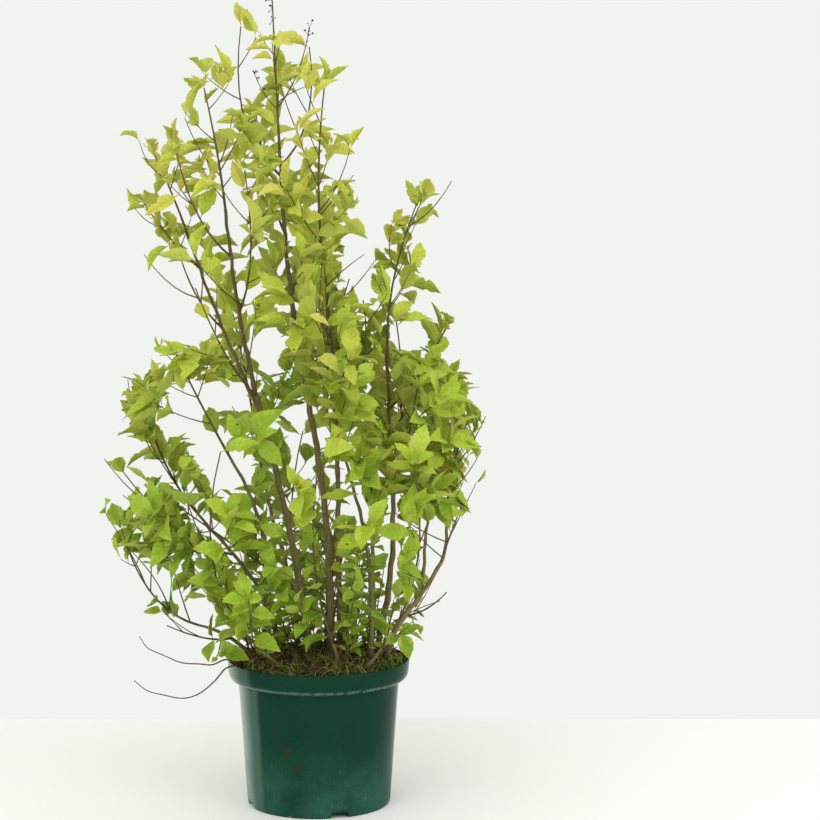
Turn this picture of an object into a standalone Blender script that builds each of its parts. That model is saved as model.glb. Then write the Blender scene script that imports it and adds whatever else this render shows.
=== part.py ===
"""Beautyberry shrub, about 1.22 m tall, standing in a ten litre nursery pot.

The pot is a thin turned shell with a broad stepped rim and four slots in its foot ring, and the root ball fills it.
Sixteen stems rise from the root ball and two of them fork. Each limb is one tapering solid, a stem from a flat cut on
the soil to the place where its leafy end begins. Each foliage piece is one shoot that starts 0.3 mm clear of its
limb: a spine with side twigs, and opposite pairs of leaves that stand a quarter turn from the pair below.

Metres, +Z up. The origin is the middle of the pot's underside, and -Y is the front.
"""

import math

import bmesh
import bpy
import numpy as np

GAP = 0.0003
SEED = 41

# Pot, as radii and heights of its turned profile
POT_HEIGHT = 0.222
RIM_RADIUS = 0.1390
RIM_DEPTH = 0.0315
RIM_TAPER = 0.001
LIP_DROP = 0.0015
SHOULDER_HEIGHT = 0.0165
STEP_LEDGE = 0.0045
NECK_RADIUS = 0.1225
FOOT_RADIUS = 0.1095
FOOT_HEIGHT = 0.007
WALL = 0.002
NECK_DROP = 0.001
INNER_FOOT_RADIUS = FOOT_RADIUS - WALL - 0.001
FLOOR = 0.0025
CENTRE_FOOT_RADIUS = 0.043
POT_SIDES = 32
SLOT_COUNT = 4
SLOT_FIRST_DEG = -71.0
SLOT_WIDTH = 0.028
SLOT_HEIGHT = 0.0066
DRAIN_COUNT = 8
DRAIN_RADIUS = 0.006
DRAIN_CIRCLE = 0.073

# Root ball
SOIL_TOP = 0.2125
SOIL_EDGE_DROP = 0.005
SOIL_FLAT_RADIUS = 0.117

# Limbs
LIMB_SIDES = 6
LIMB_STEPS = 6
FLARE = 0.45
FLARE_HEIGHT = 0.012
COLLAR = 1.3
FORK_ANGLE = math.radians(35)

# Shoots
SPINE_RADIUS = 0.0017
SPINE_END_RADIUS = 0.0010
SPINE_STEPS = 4
SHOOT_ANGLE = math.radians(50)
INTERNODE = 0.038
SIDE_TWIG_EVERY = 3
SIDE_TWIG_ANGLE = math.radians(48)
SIDE_TWIG_LENGTH = 0.062
SIDE_TWIG_RADIUS = 0.0011
SIDE_TWIG_VARIATION = (0.75, 1.15)
SIDE_TWIG_SHORTENING = 0.6
SIDE_TWIG_ZONE = 0.75
HEADING_REACH = 0.45

# Leaves
LEAF_LENGTH = 0.090
LEAF_WIDTH = 0.54
LEAF_ARCH = 0.020
LEAF_CORNERS = ((0.28, 0.92), (0.62, 0.86))
LEAF_SPREAD = (0.95, 1.35)
LEAF_VARIATION = (0.88, 1.08)
LEAF_SHORTENING = 0.35
LEAF_ROLL = 0.22
TRY_SIZES = (1.0, 0.85, 0.7)
TRY_SWINGS = (0.0, 0.4, -0.4, 0.8, -0.8)
BLADE_SHARES = (0.0, 0.25, 0.5, 0.75, 1.0)
LEAF_DROOP = 0.60
LEAF_UPWARD = 0.60
CROWN_AXIS = (-0.02, 0.0)
CELL_MARGIN = 0.003
LEAF_GAP = 0.0085
LIMB_CLEARANCE = 0.004
FRUIT_RADIUS = 0.0034

# Crown outline by height and by how far leaves reach to the left, the right, the front and the back
CROWN = [
    (0.225, 0.150, 0.190, 0.170, 0.170),
    (0.310, 0.275, 0.200, 0.220, 0.200),
    (0.400, 0.315, 0.220, 0.260, 0.250),
    (0.520, 0.338, 0.255, 0.285, 0.280),
    (0.600, 0.310, 0.260, 0.270, 0.280),
    (0.700, 0.270, 0.240, 0.240, 0.260),
    (0.800, 0.272, 0.215, 0.220, 0.240),
    (0.920, 0.292, 0.205, 0.180, 0.200),
    (1.030, 0.310, 0.085, 0.150, 0.170),
    (1.130, 0.200, 0.075, 0.120, 0.120),
    (1.222, 0.125, 0.020, 0.060, 0.080),
]

# Stems from the soil: foot on the soil, tip, bow at mid height, sideways sway and foot and tip radius
STEMS = {
    "leader": ((0.017, 0.005), (-0.057, 0.010, 0.995), (0.008, 0.000, 0.0), 0.010, 0.0062, 0.0024),
    "left": ((-0.011, -0.020), (-0.134, -0.050, 0.905), (0.000, -0.005, 0.0), 0.008, 0.0056, 0.0022),
    "middle": ((0.034, 0.020), (0.010, -0.060, 0.840), (0.008, 0.010, 0.0), -0.003, 0.0048, 0.0020),
    "right": ((0.083, 0.012), (0.105, 0.028, 0.700), (0.020, 0.000, 0.0), 0.005, 0.0052, 0.0022),
    "right_outer": ((0.100, -0.012), (0.195, -0.044, 0.440), (0.008, 0.000, 0.0), -0.012, 0.0046, 0.0020),
    "left_inner": ((-0.062, -0.034), (-0.125, -0.100, 0.540), (0.018, -0.010, 0.0), -0.010, 0.0044, 0.0020),
    "left_outer": ((-0.066, 0.018), (-0.190, 0.048, 0.440), (0.035, 0.000, 0.0), 0.004, 0.0044, 0.0020),
    "left_low": ((-0.082, -0.014), (-0.180, -0.040, 0.280), (0.000, -0.004, 0.014), 0.000, 0.0036, 0.0018),
    "front_inner": ((0.078, -0.030), (0.045, -0.120, 0.540), (0.018, 0.000, 0.0), 0.000, 0.0042, 0.0020),
    "front_low": ((0.020, -0.055), (0.026, -0.100, 0.262), (0.008, -0.010, 0.0), 0.000, 0.0038, 0.0018),
    "front_left": ((-0.034, -0.060), (-0.084, -0.106, 0.258), (0.000, -0.012, 0.0), 0.000, 0.0038, 0.0018),
    "front_right": ((0.062, -0.066), (0.098, -0.108, 0.258), (0.000, -0.012, 0.0), 0.000, 0.0038, 0.0018),
    "back_right": ((0.074, 0.055), (0.104, 0.135, 0.480), (-0.008, 0.018, 0.0), 0.006, 0.0044, 0.0020),
    "back_middle": ((0.014, 0.048), (0.010, 0.150, 0.580), (0.010, 0.010, 0.0), -0.008, 0.0048, 0.0020),
    "back_left": ((-0.036, 0.044), (-0.100, 0.135, 0.530), (0.008, 0.014, 0.0), 0.006, 0.0046, 0.0020),
    "back_low": ((-0.020, 0.082), (-0.026, 0.128, 0.262), (0.004, 0.014, 0.0), 0.000, 0.0038, 0.0018),
}

# Forks: the limb that carries it, the share of the way up that limb, tip, bow, sway and radii
FORKS = {
    "left_fork": ("left", 0.56, (-0.206, 0.060, 0.880), (-0.006, 0.010, 0.0), 0.000, 0.0032, 0.0018),
    "right_fork": ("right_outer", 0.50, (0.172, 0.085, 0.470), (0.000, 0.010, 0.0), 0.000, 0.0030, 0.0018),
}

# Shoots: the limb that carries it, the share of the way along that limb (1 is its tip) and the shoot's own tip
SHOOTS = [
    ("leader", 1.00, (-0.067, 0.012, 1.218)),
    ("leader", 0.95, (-0.105, -0.004, 1.165)),
    ("leader", 0.97, (-0.012, 0.022, 1.150)),
    ("leader", 0.84, (-0.100, 0.112, 1.060)),
    ("leader", 0.72, (-0.020, 0.080, 0.930)),
    ("leader", 0.56, (0.046, 0.075, 0.800)),
    ("left", 1.00, (-0.166, -0.062, 1.115)),
    ("left", 0.90, (-0.200, -0.096, 0.985)),
    ("left", 0.78, (-0.100, -0.115, 0.960)),
    ("left", 0.60, (-0.170, -0.140, 0.790)),
    ("left_fork", 1.00, (-0.262, 0.072, 1.000)),
    ("left_fork", 0.78, (-0.262, 0.010, 0.895)),
    ("left_fork", 0.45, (-0.236, 0.050, 0.790)),
    ("middle", 1.00, (0.022, -0.064, 1.065)),
    ("middle", 0.94, (0.056, -0.092, 0.960)),
    ("middle", 0.80, (-0.018, -0.135, 0.830)),
    ("middle", 0.62, (0.070, -0.045, 0.770)),
    ("right", 1.00, (0.150, 0.030, 0.915)),
    ("right", 0.80, (0.195, 0.000, 0.730)),
    ("right", 0.55, (0.150, -0.085, 0.640)),
    ("right_outer", 1.00, (0.226, -0.050, 0.590)),
    ("right_outer", 0.72, (0.215, -0.120, 0.470)),
    ("right_outer", 0.36, (0.195, -0.040, 0.330)),
    ("right_fork", 1.00, (0.198, 0.120, 0.655)),
    ("left_inner", 1.00, (-0.200, -0.150, 0.700)),
    ("left_inner", 0.50, (-0.205, -0.150, 0.480)),
    ("left_outer", 1.00, (-0.275, 0.066, 0.635)),
    ("left_outer", 0.72, (-0.300, 0.010, 0.510)),
    ("left_low", 1.00, (-0.290, -0.070, 0.430)),
    ("left_low", 0.50, (-0.220, -0.100, 0.290)),
    ("front_inner", 1.00, (0.015, -0.175, 0.770)),
    ("front_inner", 0.62, (0.085, -0.165, 0.560)),
    ("front_low", 1.00, (0.014, -0.225, 0.560)),
    ("front_left", 1.00, (-0.128, -0.222, 0.560)),
    ("front_right", 1.00, (0.145, -0.210, 0.540)),
    ("back_right", 1.00, (0.118, 0.185, 0.730)),
    ("back_middle", 1.00, (0.006, 0.200, 0.840)),
    ("back_left", 1.00, (-0.150, 0.190, 0.770)),
    ("back_low", 1.00, (-0.035, 0.235, 0.550)),
]
FRUITING = (0, 2)
BERRY_COUNT = 5

# Dead twigs that hang over the left of the rim
BARE_FOOT = (-0.098, -0.052)
BARE_LIP = (-0.128, -0.066, 0.234)
BARE_TIPS = ((-0.262, -0.095, 0.262), (-0.266, -0.130, 0.206))
BARE_RADIUS = 0.0013


def unit(vector):
    return vector / np.linalg.norm(vector)


def material(name, colour, roughness):
    """A plain Principled material, made once and then shared."""
    made = bpy.data.materials.get(name) or bpy.data.materials.new(name)
    made.use_nodes = True
    shader = made.node_tree.nodes["Principled BSDF"]
    shader.inputs["Base Color"].default_value = (*colour, 1.0)
    shader.inputs["Roughness"].default_value = roughness
    shader.inputs["Metallic"].default_value = 0.0
    return made


def bark():
    return material("bark", (0.150, 0.095, 0.060), 0.85)


def add_object(name, points, faces, finish):
    """A mesh object from corners and faces, with its faces turned outwards."""
    mesh = bpy.data.meshes.new(name)
    mesh.from_pydata([tuple(point) for point in points], [], faces)
    work = bmesh.new()
    work.from_mesh(mesh)
    bmesh.ops.recalc_face_normals(work, faces=work.faces)
    work.to_mesh(mesh)
    work.free()
    item = bpy.data.objects.new(name, mesh)
    item.data.materials.append(finish)
    bpy.context.scene.collection.objects.link(item)
    return item


def apply_modifier(item, modifier):
    with bpy.context.temp_override(object=item):
        bpy.ops.object.modifier_apply(modifier=modifier.name)


# Curves


def limb_curve(foot, tip, bow, sway):
    """Points from foot to tip: the chord, plus a half-wave bow, plus a full-wave sway across the picture."""
    t = np.linspace(0.0, 1.0, LIMB_STEPS + 1)[:, None]
    foot, tip, bow = np.array(foot), np.array(tip), np.array(bow)
    return foot + (tip - foot) * t + bow * np.sin(np.pi * t) + np.array([sway, 0, 0]) * np.sin(2 * np.pi * t)


def bend_curve(start, heading, tip, steps):
    """Quadratic Bezier curve that leaves start along heading and ends at tip."""
    t = np.linspace(0.0, 1.0, steps + 1)[:, None]
    control = start + heading * np.linalg.norm(tip - start) * HEADING_REACH
    return (1 - t) ** 2 * start + 2 * t * (1 - t) * control + t**2 * tip


def along(curve, share):
    """Point and heading at a share of the way along a curve's points."""
    place = share * (len(curve) - 1)
    low = min(int(place), len(curve) - 2)
    point = curve[low] + (curve[low + 1] - curve[low]) * (place - low)
    return point, unit(curve[low + 1] - curve[low])


def thickness(radii, share):
    """Radius at a share of the way along a limb."""
    return np.interp(share * (len(radii) - 1), np.arange(len(radii)), radii)


def refined(curve, spacing=0.007):
    """The curve as points no further apart than the spacing, and the share of the way that each one lies."""
    length = np.linalg.norm(np.diff(curve, axis=0), axis=1).sum()
    places = np.linspace(0, len(curve) - 1, max(3, math.ceil(length / spacing)))
    steps = np.arange(len(curve))
    points = np.stack([np.interp(places, steps, curve[:, axis]) for axis in range(3)], axis=1)
    return points, places / (len(curve) - 1)


def around(heading, turn):
    """Unit vector square to the heading, turned about it from a fixed start."""
    across = unit(np.cross(heading, [0.23, 0.41, 0.88]))
    return across * math.cos(turn) + np.cross(heading, across) * math.sin(turn)


def branch_start(curve, radii, share, tip, angle, child_radius):
    """Where a branch starts, 0.3 mm clear of its limb's side, its heading, and the side of its end that faces it."""
    point, heading = along(curve, share)
    outward = tip - point
    outward = unit(outward - heading * outward.dot(heading))
    away = heading * math.cos(angle) + outward * math.sin(angle)
    facing = heading * math.sin(angle) - outward * math.cos(angle)
    reach = (thickness(radii, share) + GAP + child_radius * math.cos(angle)) / math.sin(angle)
    return point + away * reach, away, facing


# Solids


def tube(curve, radii, sides, first=None, facing=None):
    """Corners and faces of a closed tube: a ring of corners round each point, and a flat end at each end."""
    headings = np.gradient(curve, axis=0)
    if first is not None:
        headings[0] = first
    side = np.array(facing) if facing is not None else np.cross(headings[0], [0.31, 0.87, 0.38])
    points, faces = [], []
    for ring, (centre, heading, radius) in enumerate(zip(curve, headings, radii, strict=True)):
        heading = unit(heading)
        side = unit(side - heading * side.dot(heading))
        across = np.cross(heading, side)
        for corner in range(sides):
            turn = math.tau * corner / sides
            points.append(centre + (side * math.cos(turn) + across * math.sin(turn)) * radius)
        if ring:
            low, high = (ring - 1) * sides, ring * sides
            for corner in range(sides):
                after = (corner + 1) % sides
                faces.append((low + corner, low + after, high + after, high + corner))
    faces.append(tuple(reversed(range(sides))))
    faces.append(tuple(len(points) - sides + corner for corner in range(sides)))
    return points, faces


def leaf_solid(root, heading, normal, length):
    """A leaf of eight faces: a six-cornered blade whose upper side arches over the straight line of its keel."""
    side = np.cross(normal, heading) * length * LEAF_WIDTH / 2
    arch = normal * length * LEAF_ARCH
    corners = [root]
    for share, breadth in LEAF_CORNERS:
        middle = root + heading * length * share + arch
        corners += [middle + side * breadth, middle - side * breadth]
    corners.append(root + heading * length)
    faces = [(0, 1, 2), (1, 3, 4, 2), (3, 5, 4), (0, 5, 1), (1, 5, 3), (0, 2, 5), (2, 4, 5)]
    return corners, faces


def bead_solid(centre, radius):
    """A dried berry, as an octahedron."""
    points = [centre + radius * np.array(axis) for axis in np.vstack([np.eye(3), -np.eye(3)])]
    faces = [(0, 1, 2), (1, 3, 2), (3, 4, 2), (4, 0, 2), (1, 0, 5), (3, 1, 5), (4, 3, 5), (0, 4, 5)]
    return points, faces


# Limbs


def limb_radii(radius, end_radius, curve, rooted):
    """Even taper, with a flare over the last centimetre above the soil."""
    radii = np.linspace(radius, end_radius, len(curve))
    if rooted:
        radii *= 1 + FLARE * np.exp(-(curve[:, 2] - curve[0, 2]) / FLARE_HEIGHT)
    return radii


def plan_limbs():
    """Every limb's curve and radii, with the heading and facing of its first end."""
    limbs = {}
    for name, (foot, tip, bow, sway, radius, end_radius) in STEMS.items():
        curve = limb_curve((*foot, SOIL_TOP + GAP), tip, bow, sway)
        collar = curve[0] + [0.0, 0.0, COLLAR * radius]
        curve = np.vstack([curve[:1], collar, curve[1:]])
        limbs[name] = (curve, limb_radii(radius, end_radius, curve, True), np.array([0.0, 0.0, 1.0]), None)
    for name, (parent, share, tip, bow, sway, radius, end_radius) in FORKS.items():
        tip = np.array(tip)
        start, away, facing = branch_start(*limbs[parent][:2], share, tip, FORK_ANGLE, radius)
        curve = limb_curve(start, tip, bow, sway)
        curve[1] = start + away * np.linalg.norm(curve[1] - start)
        limbs[name] = (curve, limb_radii(radius, end_radius, curve, False), away, facing)
    return limbs


def build_limbs(limbs):
    for name, (curve, radii, first, facing) in limbs.items():
        kind = "bough" if name in FORKS else "stem"
        item = add_object(f"{kind}_{name}", *tube(curve, radii, LIMB_SIDES, first, facing), bark())
        item.data.shade_smooth()
        item.data.set_sharp_from_angle(angle=math.radians(70))


# Shoots


def plan_spines(limbs):
    """Every shoot's spine, with the heading and facing of its first end."""
    spines = []
    for limb, share, tip in SHOOTS:
        curve, radii = limbs[limb][:2]
        tip = np.array(tip)
        if share == 1.0:
            heading, facing = unit(curve[-1] - curve[-2]), None
            start = curve[-1] + heading * GAP
        else:
            start, heading, facing = branch_start(curve, radii, share, tip, SHOOT_ANGLE, SPINE_RADIUS)
        spines.append((bend_curve(start, heading, tip, SPINE_STEPS), heading, facing))
    return spines


def inside_crown(points):
    """Which points lie inside the crown's outline."""
    heights = [row[0] for row in CROWN]
    left, right, front, back = (np.interp(points[:, 2], heights, reach) for reach in list(zip(*CROWN))[1:])
    level = (points[:, 2] > heights[0]) & (points[:, 2] < heights[-1])
    across = (points[:, 0] > -left) & (points[:, 0] < right)
    return level & across & (points[:, 1] > -front) & (points[:, 1] < back)


def distances(points, targets):
    return np.sqrt(((points[:, None] - targets[None]) ** 2).sum(axis=2))


def room_for(index, spines, limbs):
    """A test for whether points lie in a shoot's own space: nearer its spine than any other, and off the limbs."""
    near = 2.2 * LEAF_LENGTH + SIDE_TWIG_LENGTH
    own = refined(spines[index][0])[0]
    others = np.vstack([refined(spine[0])[0] for other, spine in enumerate(spines) if other != index])
    others = others[distances(others, own).min(axis=1) < near]
    bark_points = np.vstack([refined(limb[0])[0] for limb in limbs.values()])
    bark_radii = np.concatenate([thickness(limb[1], refined(limb[0])[1]) for limb in limbs.values()])
    close = distances(bark_points, own).min(axis=1) < near
    bark_points, bark_radii = bark_points[close], bark_radii[close]

    def fits(points, taken=()):
        points = np.array(points)
        if not inside_crown(points).all():
            return False
        if len(taken) and distances(points, np.vstack(taken)).min() < LEAF_GAP:
            return False
        if ((distances(points, bark_points) - bark_radii).min(axis=1) < LIMB_CLEARANCE).any():
            return False
        mine = distances(points, own).min(axis=1)
        return bool((mine + CELL_MARGIN < distances(points, others).min(axis=1)).all())

    return fits


def blade_points(corners):
    """Points spread over a leaf, from a little way beyond its root to its tip."""
    root, left, right, upper_left, upper_right, tip = corners
    rows = []
    for start, end, shares in (((root, root), (left, right), (0.55,)),
                               ((left, right), (upper_left, upper_right), (0.0, 0.5)),
                               ((upper_left, upper_right), (tip, tip), (0.0, 0.5))):
        for share in shares:
            one, other = (a + (b - a) * share for a, b in zip(start, end, strict=True))
            rows += [one + (other - one) * across for across in BLADE_SHARES]
    return [*rows, tip]


def place_leaf(node, heading, turn, length, fits, taken, rng):
    """A leaf at a node that turns and shortens until it has room, or None."""
    spread = rng.uniform(*LEAF_SPREAD)
    droop = LEAF_DROOP * rng.uniform(0.3, 1.5)
    roll = rng.normal(0, LEAF_ROLL, 3)
    outwards = unit(np.array([node[0] - CROWN_AXIS[0], node[1] - CROWN_AXIS[1], 0.0]) + 1e-6)
    for size in TRY_SIZES:
        for swing in TRY_SWINGS:
            away = heading * math.cos(spread) + around(heading, turn + swing) * math.sin(spread)
            away = unit(away - np.array([0, 0, droop]))
            normal = np.array([0.0, 0.0, LEAF_UPWARD]) + outwards + 0.2 * heading + roll
            normal = unit(normal - away * normal.dot(away))
            corners, faces = leaf_solid(node - away * SIDE_TWIG_RADIUS * 0.4, away, normal, length * size)
            blade = blade_points(corners)
            if fits(blade, taken):
                taken.append(blade)
                return corners, faces
    return None


def leaf_pair(node, heading, turn, length, fits, taken, rng):
    """Up to two opposite leaves."""
    pair = [place_leaf(node, heading, turn + half, length * rng.uniform(*LEAF_VARIATION), fits, taken, rng)
            for half in (0, math.pi)]
    return [leaf for leaf in pair if leaf]


def side_twig(node, heading, turn, share, fits, taken, rng):
    """A side twig with two pairs of leaves, or nothing where it has no room."""
    away = unit(heading * math.cos(SIDE_TWIG_ANGLE) + around(heading, turn) * math.sin(SIDE_TWIG_ANGLE))
    long = SIDE_TWIG_LENGTH * rng.uniform(*SIDE_TWIG_VARIATION) * (1.15 - SIDE_TWIG_SHORTENING * share)
    twig = np.linspace(node, node + (away + [0, 0, 0.1]) * long, 3)
    if not fits(twig[1:]):
        return []
    low, high = along(twig, 0.5), along(twig, 0.96)
    return [tube(twig[::2], [SIDE_TWIG_RADIUS, SIDE_TWIG_RADIUS * 0.75], 3),
            *leaf_pair(*low, turn + math.pi / 2, LEAF_LENGTH * 0.9, fits, taken, rng),
            *leaf_pair(*high, turn, LEAF_LENGTH * 0.8, fits, taken, rng)]


def grow(index, spines, limbs):
    """The solids of one shoot: its spine, and then its side twigs and leaves."""
    rng = np.random.default_rng(SEED + index)
    spine, first, facing = spines[index]
    fits = room_for(index, spines, limbs)
    length = np.linalg.norm(np.diff(spine, axis=0), axis=1).sum()
    core = tube(spine, np.linspace(SPINE_RADIUS, SPINE_END_RADIUS, len(spine)), 3, first, facing)
    pieces, taken = [], []
    nodes = max(3, round(length / INTERNODE))
    turn = rng.uniform(0, math.pi)
    for k in range(nodes):
        share = (k + 0.8) / (nodes - 0.2)
        node, heading = along(spine, min(share, 0.985))
        turn += math.pi / 2
        if k % SIDE_TWIG_EVERY == 0 and share < SIDE_TWIG_ZONE:
            for half in (0, math.pi):
                pieces += side_twig(node, heading, turn + half, share, fits, taken, rng)
        else:
            pieces += leaf_pair(node, heading, turn, LEAF_LENGTH * (1 - LEAF_SHORTENING * share**3), fits, taken, rng)
    if index in FRUITING:
        pieces += fruit(spine, rng)
    return core, pieces


def fruit(spine, rng):
    """Dried berries round the last centimetres of a spine."""
    beads = []
    for berry in range(BERRY_COUNT):
        place, heading = along(spine, 0.93 + 0.0175 * berry)
        beads.append(bead_solid(place + around(heading, rng.uniform(0, math.tau)) * FRUIT_RADIUS * 0.55, FRUIT_RADIUS))
    return beads


def fuse(name, core, pieces, finish):
    """One closed body from a core and the pieces rooted in it, by a Boolean union on a collection."""
    item = add_object(name, *core, finish)
    grown = bpy.data.collections.new(name)
    bpy.context.scene.collection.children.link(grown)
    for number, (points, faces) in enumerate(pieces):
        piece = add_object(f"{name}_{number}", points, faces, finish)
        bpy.context.scene.collection.objects.unlink(piece)
        grown.objects.link(piece)
    union = item.modifiers.new("fuse", "BOOLEAN")
    union.operation = "UNION"
    union.operand_type = "COLLECTION"
    union.collection = grown
    union.solver = "EXACT"
    apply_modifier(item, union)
    for piece in list(grown.objects):
        bpy.data.objects.remove(piece)
    bpy.data.collections.remove(grown)
    keep_largest(item.data)
    return item


def keep_largest(mesh):
    """Drops every shell but the one with the most corners: loose scraps, and hollows that the union sealed."""
    work = bmesh.new()
    work.from_mesh(mesh)
    waiting = set(work.verts)
    shells = []
    while waiting:
        shell, front = set(), [waiting.pop()]
        while front:
            corner = front.pop()
            shell.add(corner)
            for edge in corner.link_edges:
                after = edge.other_vert(corner)
                if after in waiting:
                    waiting.discard(after)
                    front.append(after)
        shells.append(shell)
    largest = max(shells, key=len)
    bmesh.ops.delete(work, geom=[corner for corner in work.verts if corner not in largest], context="VERTS")
    work.to_mesh(mesh)
    work.free()


def build_foliage(limbs):
    leaf = material("leaf", (0.230, 0.400, 0.060), 0.55)
    spines = plan_spines(limbs)
    for index, (limb, _, _) in enumerate(SHOOTS):
        number = 1 + sum(row[0] == limb for row in SHOOTS[:index])
        fuse(f"foliage_{limb}_{number}", *grow(index, spines, limbs), leaf)


def build_bare_twigs():
    """Dead twigs from one foot by the rim, hanging out over its edge."""
    foot = np.array([*BARE_FOOT, SOIL_TOP + GAP])
    lip = np.array(BARE_LIP)
    tips = [np.array(tip) for tip in BARE_TIPS]
    curves = [np.vstack([[foot], bend_curve(lip, unit(tip - lip + [0, 0, 0.06]), tip, 5)]) for tip in tips]
    radii = np.linspace(BARE_RADIUS, BARE_RADIUS * 0.6, len(curves[0]))
    core = tube(curves[0], radii, 5, np.array([0.0, 0.0, 1.0]))
    fork = tube(curves[1][1:] - [0.0, 0.0, 0.0002], radii[1:] * 0.9, 5)
    fuse("bare_twigs", core, [fork], bark())


# Pot and root ball


def turned(name, profile, finish):
    """A solid of revolution from (radius, height) points that run up the inside and down the outside."""
    mesh = bpy.data.meshes.new(name)
    mesh.from_pydata([(radius, 0.0, height) for radius, height in profile],
                     [(n, n + 1) for n in range(len(profile) - 1)], [])
    item = bpy.data.objects.new(name, mesh)
    bpy.context.scene.collection.objects.link(item)
    screw = item.modifiers.new("turn", "SCREW")
    screw.axis = "Z"
    screw.steps = POT_SIDES
    screw.render_steps = POT_SIDES
    screw.use_merge_vertices = True
    screw.merge_threshold = 0.00002
    item.data.materials.append(finish)
    apply_modifier(item, screw)
    item.data.shade_smooth()
    item.data.set_sharp_from_angle(angle=math.radians(35))
    return item


def shoulder(inset, steps):
    """Rim band from its top edge down to the neck: nearly straight, then a quarter round in to the neck."""
    low = POT_HEIGHT - RIM_DEPTH
    width = RIM_RADIUS - NECK_RADIUS - STEP_LEDGE
    curve = []
    for step in range(steps + 1):
        angle = math.radians(90 * step / steps)
        curve.append((RIM_RADIUS - RIM_TAPER - width * (1 - math.cos(angle)) - inset,
                      low + SHOULDER_HEIGHT * (1 - math.sin(angle)) + inset))
    return [(RIM_RADIUS - inset, POT_HEIGHT - LIP_DROP), *curve]


def build_pot():
    low = POT_HEIGHT - RIM_DEPTH
    inner = [(0.0, FLOOR), (CENTRE_FOOT_RADIUS - 0.001, FLOOR), (CENTRE_FOOT_RADIUS + 0.001, FOOT_HEIGHT + FLOOR),
             (INNER_FOOT_RADIUS, FOOT_HEIGHT + FLOOR), (NECK_RADIUS - WALL, low - NECK_DROP)]
    rim = [*reversed(shoulder(WALL, 2)[1:]), (RIM_RADIUS - WALL, POT_HEIGHT), (RIM_RADIUS - LIP_DROP, POT_HEIGHT)]
    outer = [*shoulder(0.0, 3), (NECK_RADIUS, low - NECK_DROP / 2),
             (FOOT_RADIUS, 0.006), (FOOT_RADIUS - 0.0012, 0.0018), (FOOT_RADIUS - 0.0030, 0.0)]
    under = [(FOOT_RADIUS - 0.0062, 0.0), (FOOT_RADIUS - 0.0072, FOOT_HEIGHT),
             (CENTRE_FOOT_RADIUS + 0.003, FOOT_HEIGHT), (CENTRE_FOOT_RADIUS, 0.0), (0.0, 0.0)]
    pot = turned("pot", [*inner, *rim, *outer, *under], material("moulded_pot", (0.012, 0.060, 0.042), 0.42))
    cut_drains(pot)


def cut_drains(pot):
    """Slots through the foot ring and round holes in the raised floor."""
    cutters = bpy.data.collections.new("drain_cutters")
    bpy.context.scene.collection.children.link(cutters)
    near, far, low = FOOT_RADIUS - 0.014, FOOT_RADIUS + 0.006, -0.002
    for slot in range(SLOT_COUNT):
        turn = math.radians(SLOT_FIRST_DEG - 90 + 360 * slot / SLOT_COUNT)
        outward, sideways = np.array([math.cos(turn), math.sin(turn), 0]), np.array([-math.sin(turn), math.cos(turn), 0])
        points = []
        for height, half in ((low, SLOT_WIDTH / 2), (SLOT_HEIGHT, SLOT_WIDTH / 2 - 0.0025)):
            points += [outward * r + sideways * w + np.array([0, 0, height])
                       for r, w in ((near, -half), (far, -half), (far, half), (near, half))]
        faces = [(3, 2, 1, 0), (4, 5, 6, 7), (0, 1, 5, 4), (1, 2, 6, 5), (2, 3, 7, 6), (3, 0, 4, 7)]
        add_cutter(f"slot_cutter_{slot + 1}", points, faces, cutters)
    for hole in range(DRAIN_COUNT):
        turn = math.tau * (hole + 0.5) / DRAIN_COUNT
        line = np.array([[DRAIN_CIRCLE * math.cos(turn), DRAIN_CIRCLE * math.sin(turn), height]
                         for height in (FOOT_HEIGHT - 0.003, FOOT_HEIGHT + FLOOR + 0.003)])
        add_cutter(f"drain_cutter_{hole + 1}", *tube(line, [DRAIN_RADIUS] * 2, 10), cutters)
    cut = pot.modifiers.new("drains", "BOOLEAN")
    cut.operation = "DIFFERENCE"
    cut.operand_type = "COLLECTION"
    cut.collection = cutters
    cut.solver = "EXACT"


def add_cutter(name, points, faces, cutters):
    """A guide that only cuts."""
    item = add_object(name, points, faces, material("moulded_pot", (0.012, 0.060, 0.042), 0.42))
    bpy.context.scene.collection.objects.unlink(item)
    cutters.objects.link(item)
    item.hide_render = True
    item.display_type = "WIRE"


def build_soil():
    """Root ball that fills the pot 0.3 mm inside its wall, with a low edge under the rim."""
    bottom = FOOT_HEIGHT + FLOOR + GAP
    edge = SOIL_TOP - SOIL_EDGE_DROP
    wall = [(radius - GAP, height + GAP) for radius, height in shoulder(WALL, 2)[1:]]
    edge_radius = np.interp(edge, *zip(*[(height, radius) for radius, height in reversed(wall)]))
    side = [(edge_radius, edge), *[point for point in wall if point[1] < edge - 0.001]]
    profile = [(0.0, SOIL_TOP), (SOIL_FLAT_RADIUS, SOIL_TOP), *side,
               (NECK_RADIUS - WALL - GAP, POT_HEIGHT - RIM_DEPTH - NECK_DROP),
               (INNER_FOOT_RADIUS - GAP, bottom), (0.0, bottom)]
    turned("soil", profile, material("potting_mix", (0.030, 0.022, 0.014), 0.95))


def main():
    for item in list(bpy.data.objects):
        bpy.data.objects.remove(item)
    build_pot()
    build_soil()
    limbs = plan_limbs()
    build_limbs(limbs)
    build_bare_twigs()
    build_foliage(limbs)


main()
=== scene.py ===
"""Looks of a potted beautyberry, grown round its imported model.

Barked stems, twigs, leaves, dried fruit, moss and a moulded pot stand in for the plain solids and keep to
their places. The stems and shoots are worked out from the same named sizes as the solids, and the growth is
carried on to finer twigs. Metres, +Z up, front at -Y.
"""

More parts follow.
